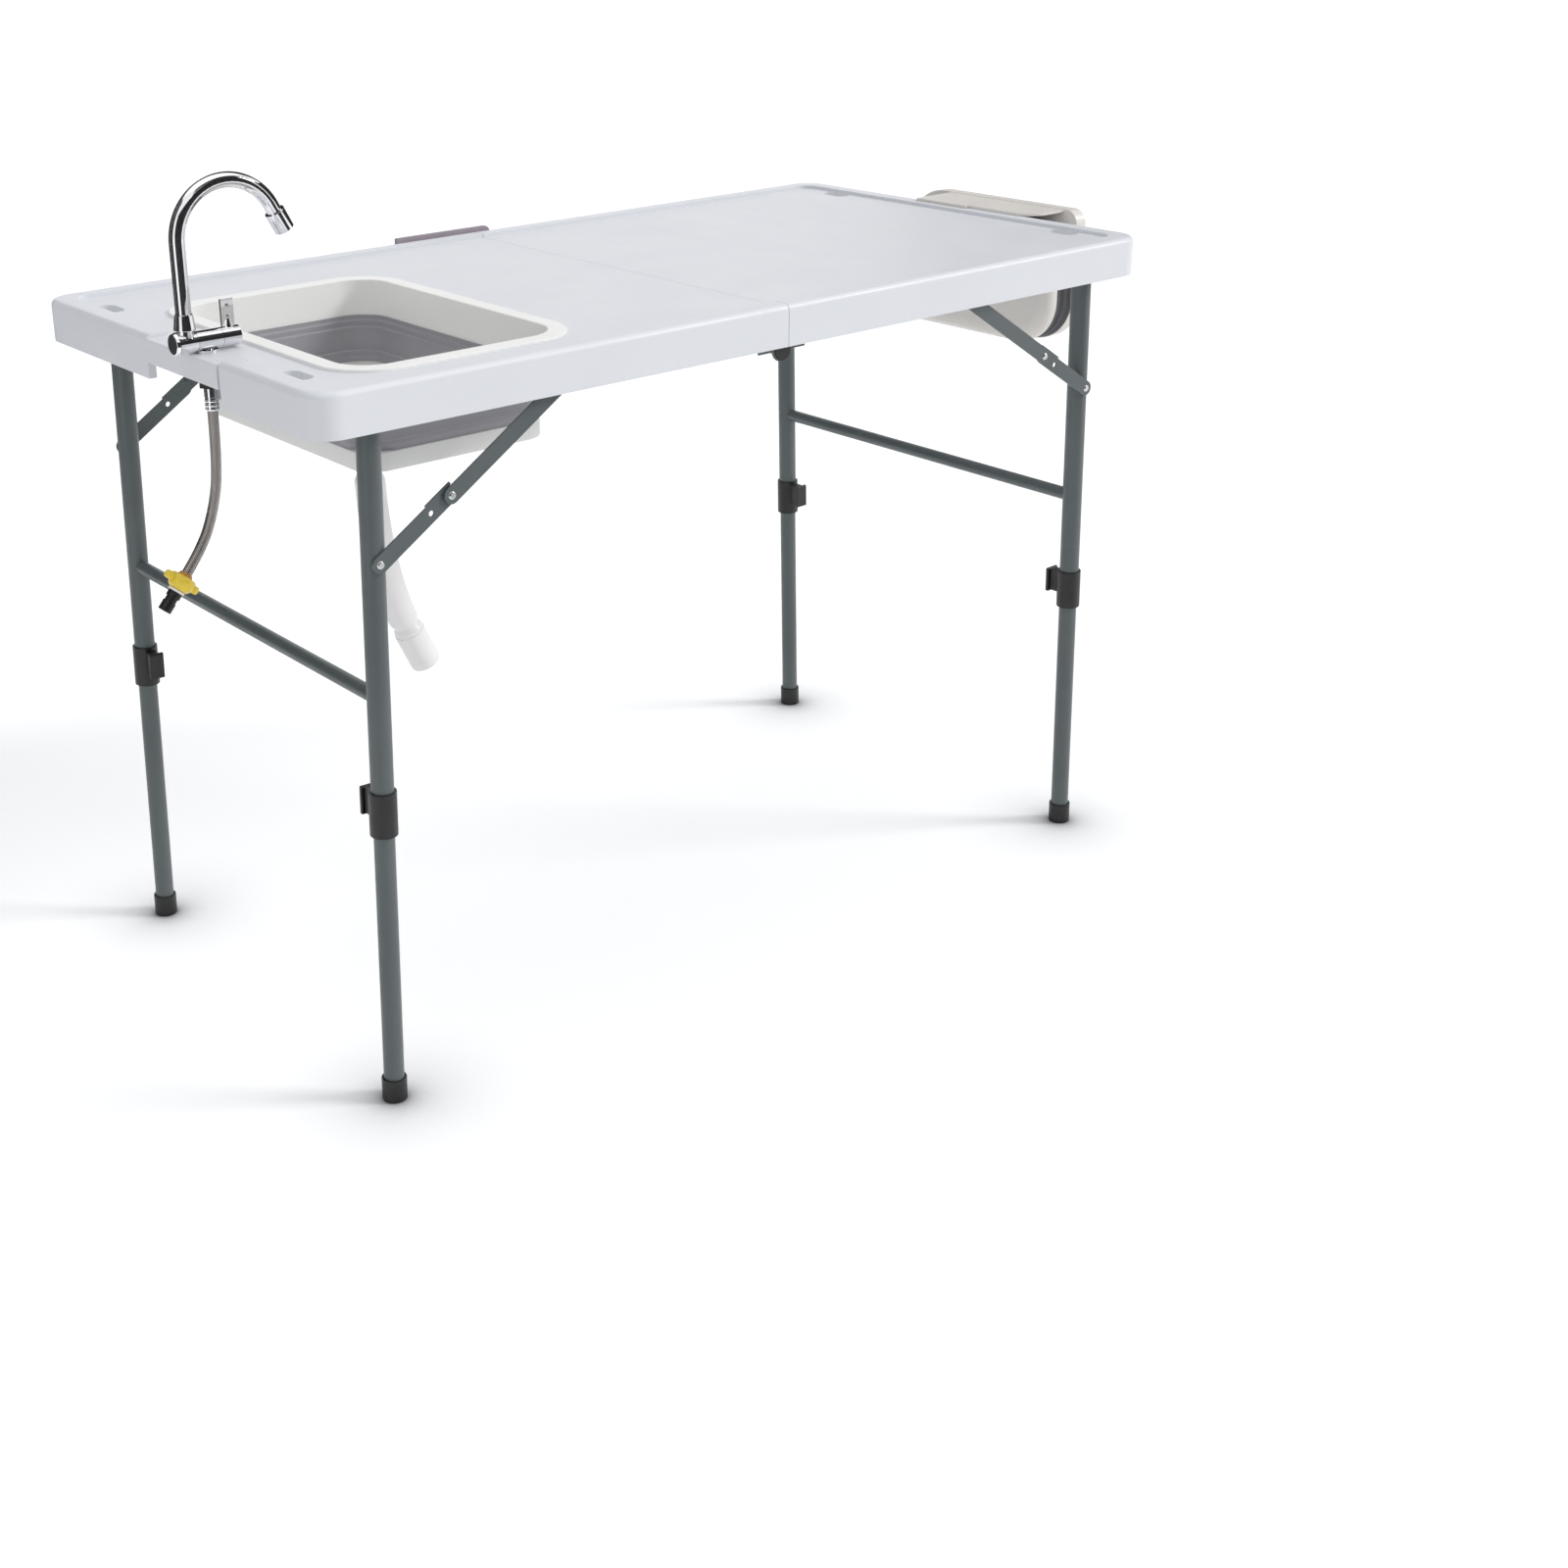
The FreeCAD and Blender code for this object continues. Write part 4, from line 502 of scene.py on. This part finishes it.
def ringed_wall(name, centre, half, corner, steps, axis, material):
    """A thin wall; each step lets the outline in and moves it along the axis, all in millimetres."""
    flat = (0, 0, 0) if axis == "Z" else (math.pi / 2, 0, math.pi / 2)
    bpy.ops.mesh.primitive_plane_add(size=2, location=at(*centre), rotation=flat)
    piece = bpy.context.object
    piece.name = piece.data.name = name
    piece.scale = (half[0] / MM, half[1] / MM, 1)
    bpy.ops.object.transform_apply(location=True, rotation=True, scale=True)
    bpy.ops.object.mode_set(mode="EDIT")
    bpy.ops.mesh.select_all(action="SELECT")
    bpy.ops.mesh.bevel(offset=corner / MM, segments=CORNER_STEPS, affect="VERTICES")
    bpy.ops.mesh.delete(type="ONLY_FACE")
    bpy.ops.mesh.select_all(action="SELECT")
    inset_now, along_now = 0.0, 0.0
    middle = at(*centre)
    for inset, along in steps:
        move = (along - along_now) / MM
        shift = (0, 0, move) if axis == "Z" else (move, 0, 0)
        bpy.ops.mesh.extrude_region_move(TRANSFORM_OT_translate={"value": shift})
        grow = [(h - inset) / (h - inset_now) for h in half]
        scale = (grow[0], grow[1], 1) if axis == "Z" else (1, grow[0], grow[1])
        bpy.ops.transform.resize(value=scale, center_override=middle)
        inset_now, along_now = inset, along
    bpy.ops.mesh.select_all(action="SELECT")
    bpy.ops.mesh.normals_make_consistent(inside=False)
    bpy.ops.object.mode_set(mode="OBJECT")
    wall = piece.modifiers.new("wall", "SOLIDIFY")
    wall.thickness = WALL_THICKNESS / MM
    wall.offset = -1
    bpy.ops.object.modifier_apply(modifier=wall.name)
    bpy.ops.object.shade_smooth_by_angle(angle=WALL_CREASE)
    piece.data.materials.append(material)
    return piece


# The grey wall of the sink: ridges near the top and bottom, with a plain lean between.
SINK_CENTRE = (-370.5, -42, 738)
SINK_STEPS = [(0.6, -5), (2.8, -7), (3.0, -12), (5.2, -14), (5.6, -22), (8.6, -30), (9.0, -38), (11.2, -40),
              (11.4, -45), (13.0, -47), (13.0, -50)]
sink_wall = ringed_wall("sink_soft_wall", SINK_CENTRE, (123.5, 191), 41, SINK_STEPS, "Z", soft_grey)
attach(sink_wall, "sink")
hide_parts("sink_wall")
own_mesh(sink_wall)

# The dark wall of the second basin: two ridges, drawn out sideways.
BASIN_CENTRE = (633.4, 0, 689.5)
BASIN_STEPS = [(0.6, -4), (2.2, -6), (2.4, -10), (0.6, -12), (0.8, -16), (2.4, -18), (2.4, -22), (1.0, -24),
               (1.0, -27)]
basin_wall = ringed_wall("basin_soft_wall", BASIN_CENTRE, (147, 78.5), 60, BASIN_STEPS, "X", soft_dark)
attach(basin_wall, "second_basin")
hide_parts("second_basin_wall")
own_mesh(basin_wall)


# Floor, light and background: a pale floor under an even sky, and two soft lamps.
# The floor is white where it is seen, with painted shadow darkening it where a foot stands close, and greyer in
# what it gives back.
FLOOR_GIVEN, FLOOR_SEEN, FLOOR_PAINTED_SHADOW = (0.88, 0.88, 0.88, 1), (1.16, 1.16, 1.16, 1), (0.2, 0.2, 0.21, 1)
# How far the painted contact shadow round the feet reaches, in metres, and how sharply it deepens.
PAINTED_SHADOW_REACH, PAINTED_SHADOW_DEPTH = 0.14, 3.0
SKY, SKY_STRENGTH = (0.97, 0.98, 1.0, 1), 0.65
CARD_BLACK = (0.01, 0.01, 0.012, 1)


def seen_rays(tree):
    """One where a ray comes straight from the camera, a mirror or clear glass, and nought elsewhere."""
    rays = tree.nodes.new("ShaderNodeLightPath")
    first, both = node(tree, "Math", operation="MAXIMUM"), node(tree, "Math", operation="MAXIMUM")
    tree.links.new(rays.outputs["Is Camera Ray"], first.inputs[0])
    tree.links.new(rays.outputs["Is Glossy Ray"], first.inputs[1])
    tree.links.new(first.outputs["Value"], both.inputs[0])
    tree.links.new(rays.outputs["Is Transmission Ray"], both.inputs[1])
    return both.outputs["Value"]


bpy.ops.mesh.primitive_plane_add(size=60, location=(0, 0, 0))
floor = bpy.context.object
floor.name = "floor"
floor_look = bpy.data.materials.new("pale floor")
floor_look.use_nodes = True
ground = floor_look.node_tree
pale = node(ground, "Mix", data_type="RGBA", A=FLOOR_GIVEN)
ground.links.new(seen_rays(ground), pale.inputs["Factor"])
ground.links.new(pale.outputs["Result"], ground.nodes["Principled BSDF"].inputs["Base Color"])
# Painted shadow: occlusion within a short reach mixes a dark colour into the floor's seen white round each foot.
painted_shadow_nearness = node(ground, "AmbientOcclusion", samples=12, Distance=PAINTED_SHADOW_REACH)
painted_shadow_deepening = node(ground, "Math", operation="POWER")
painted_shadow_deepening.inputs[1].default_value = PAINTED_SHADOW_DEPTH
painted_shadow = node(ground, "Mix", data_type="RGBA", A=FLOOR_PAINTED_SHADOW, B=FLOOR_SEEN)
ground.links.new(painted_shadow_nearness.outputs["AO"], painted_shadow_deepening.inputs[0])
ground.links.new(painted_shadow_deepening.outputs["Value"], painted_shadow.inputs["Factor"])
ground.links.new(painted_shadow.outputs["Result"], pale.inputs["B"])
ground.nodes["Principled BSDF"].inputs["Roughness"].default_value = 1.0
ground.nodes["Principled BSDF"].inputs["Specular IOR Level"].default_value = 0.0
floor.data.materials.append(floor_look)

world = bpy.data.worlds.new("studio")
world.use_nodes = True
bpy.context.scene.world = world
air = world.node_tree
plain, bright = air.nodes["Background"], air.nodes.new("ShaderNodeBackground")
plain.inputs["Color"].default_value = SKY
plain.inputs["Strength"].default_value = SKY_STRENGTH
bright.inputs["Color"].default_value = (1.0, 1.0, 1.0, 1)
bright.inputs["Strength"].default_value = 1.0
choice = air.nodes.new("ShaderNodeMixShader")
air.links.new(seen_rays(air), choice.inputs["Fac"])
air.links.new(plain.outputs["Background"], choice.inputs[1])
air.links.new(bright.outputs["Background"], choice.inputs[2])
air.links.new(choice.outputs["Shader"], air.nodes["World Output"].inputs["Surface"])


def lamp(name, turn, strength, spread):
    """A far soft lamp; the turn is how it tips from straight down."""
    bpy.ops.object.light_add(type="SUN", location=(0, 0, 3), rotation=[math.radians(a) for a in turn])
    made = bpy.context.object
    made.name = name
    made.data.energy = strength
    made.data.angle = math.radians(spread)


lamp("key lamp", (60, 0, 52), 1.35, 16)
lamp("top lamp", (-12, 10, 0), 0.45, 80)

# Dark cards round the studio, which only polished metal shows: width, height, middle and turn of each.
CARDS = [("back dark card", 3.0, 4.0, (-1.30, 2.44, 2.0), (90, 0, 16)),
         ("left dark card", 2.4, 4.0, (-3.05, 0.72, 2.0), (90, 0, 72)),
         ("camera dark card", 2.1, 2.2, (-1.76, -2.14, 1.1), (90, 0, -29)),
         ("front dark card", 2.1, 2.6, (0.13, -2.34, 1.3), (90, 0, 18)),
         ("right dark card", 4.4, 1.3, (2.39, -0.19, 1.72), (90, 0, 87)),
         ("high dark card", 3.0, 0.7, (0.50, -1.57, 2.47), (42, 0, 0)),
         ("rear high dark card", 4.2, 2.0, (0.75, 1.60, 2.75), (132, 0, -36))]
for name, wide, high, place, turn in CARDS:
    bpy.ops.mesh.primitive_plane_add(size=1, location=place, rotation=[math.radians(a) for a in turn])
    card = bpy.context.object
    card.name = name
    card.scale = (wide, high, 1.0)
    bpy.ops.object.transform_apply(location=True, rotation=True, scale=True)
    card_look = bpy.data.materials.new(name)
    card_look.use_nodes = True
    card_look.node_tree.nodes["Principled BSDF"].inputs["Base Color"].default_value = CARD_BLACK
    card.data.materials.append(card_look)
    card.visible_camera = card.visible_diffuse = card.visible_shadow = False

bpy.context.scene.view_settings.view_transform = "Standard"
